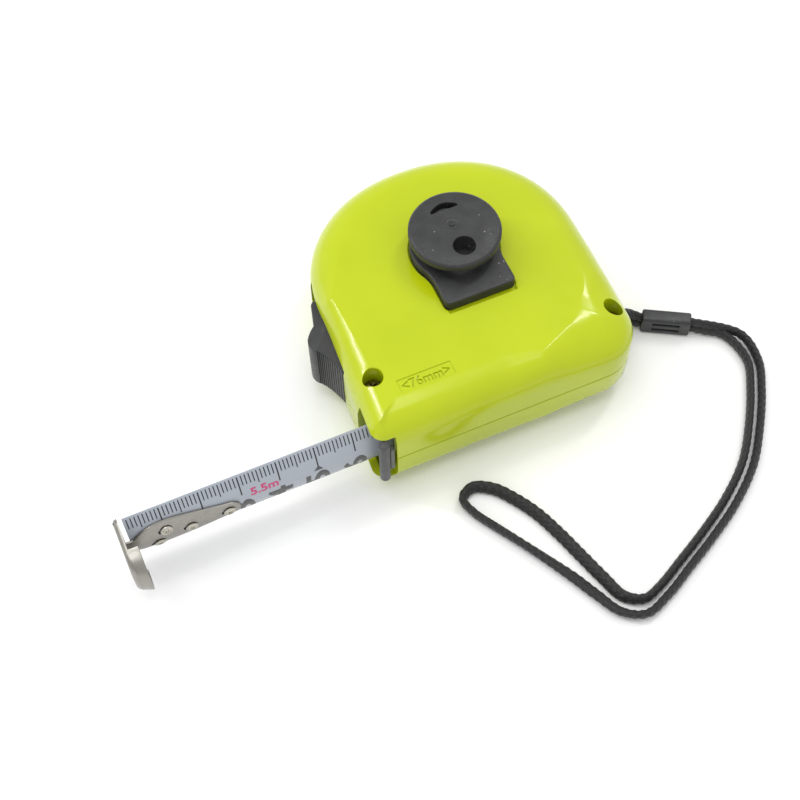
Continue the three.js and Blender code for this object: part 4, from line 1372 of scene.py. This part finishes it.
def make_reel():
    low, high = (corner.z for corner in node_box("reel_drum"))
    cover_sheet = 0.9
    high += cover_sheet
    bore, hub, coil = 2.7, 16.4, 24.5
    axle = [
        (0, 2), (2.1, 2), (2.4, 2.3), (2.4, 8), (2.2, 8.2), (2.2, 9.2), (2.4, 9.4),
        (2.4, CASE_TOP - 2.5), (2.1, CASE_TOP - 2.2), (0, CASE_TOP - 2.2),
    ]
    axle_piece = revolve("reel_axle_steel", axle, steps=64)
    boolean(axle_piece, block("split", (-0.4, -3, 6), (0.4, 3, 24)))
    finish_piece(axle_piece, "case", RIVET_STEEL, "reel_axle")
    drum = [
        (bore, low), (hub - 0.3, low), (hub, low + 0.3), (hub, high - 1.1), (hub - 0.15, high - 0.95),
        (hub - 1.05, high - 0.95), (hub - 1.2, high - 1.1), (hub - 1.2, low + 1.5), (hub - 1.7, low + 1),
        (bore + 1.2, low + 1), (bore + 1, low + 1.2), (bore, low + 1.2),
    ]
    finish_piece(revolve("reel_drum_moulding", drum), "reel", REEL, "reel_drum")
    cover = [
        (bore, high - cover_sheet), (hub - 0.2, high - cover_sheet), (hub, high - 0.7), (hub, high - 0.2),
        (hub - 0.2, high), (bore + 3, high), (bore + 2.6, high - 0.3), (bore, high - 0.3),
    ]
    finish_piece(revolve("reel_cover_moulding", cover), "reel", REEL, "reel_cover")
    spring = spiral_strip("return_spring_steel", 3.9, hub - 2, 0.2, low + 1.4, high - 1.4, 22)
    finish_piece(spring, "reel", SPRING_STEEL, "return_spring", smooth=50)
    wound = spiral_strip("blade_coil_steel", hub + 0.3, coil, 0.13, low + 0.5, high - 0.5, 43)
    finish_piece(wound, "reel", BLADE, "blade_coil", smooth=50)


make_reel()


# Floor, light and view


def make_floor():
    mesh = bpy.data.meshes.new("floor")
    corners = [(x * FLOOR_REACH, y * FLOOR_REACH, 0) for x, y in ((-1, -1), (1, -1), (1, 1), (-1, 1))]
    mesh.from_pydata(corners, [], [(0, 1, 2, 3)])
    floor = add_object("floor", mesh)
    floor.location.z = -FLOOR_DROP
    paper = Surface("floor_paper", (0.93, 0.93, 0.93), 0.7)
    paper.tint(paper.ramp(paper.noise(60, 3), 0.4, 0.6), (0.94, 0.94, 0.94))
    mesh.materials.append(paper.material)


def add_light(name, direction, distance, size, power):
    """A rectangular light along a direction from the aim point, both in millimetres."""
    data = bpy.data.lights.new(name, "AREA")
    data.shape = "RECTANGLE"
    data.size, data.size_y = (s * MM for s in size)
    data.energy = power
    light = add_object(name, data)
    towards = Vector(direction).normalized()
    light.location = (LIGHT_AIM + towards * distance) * MM
    light.rotation_euler = towards.to_track_quat("Z", "Y").to_euler()


def set_world():
    world = bpy.data.worlds.new("studio")
    world.use_nodes = True
    background = world.node_tree.nodes["Background"]
    background.inputs["Color"].default_value = (1, 1, 1, 1)
    background.inputs["Strength"].default_value = WORLD_STRENGTH
    bpy.context.scene.world = world


make_floor()
set_world()
for light_name, settings in LIGHTS.items():
    add_light(light_name, *settings)
bpy.context.scene.view_settings.view_transform = "Standard"
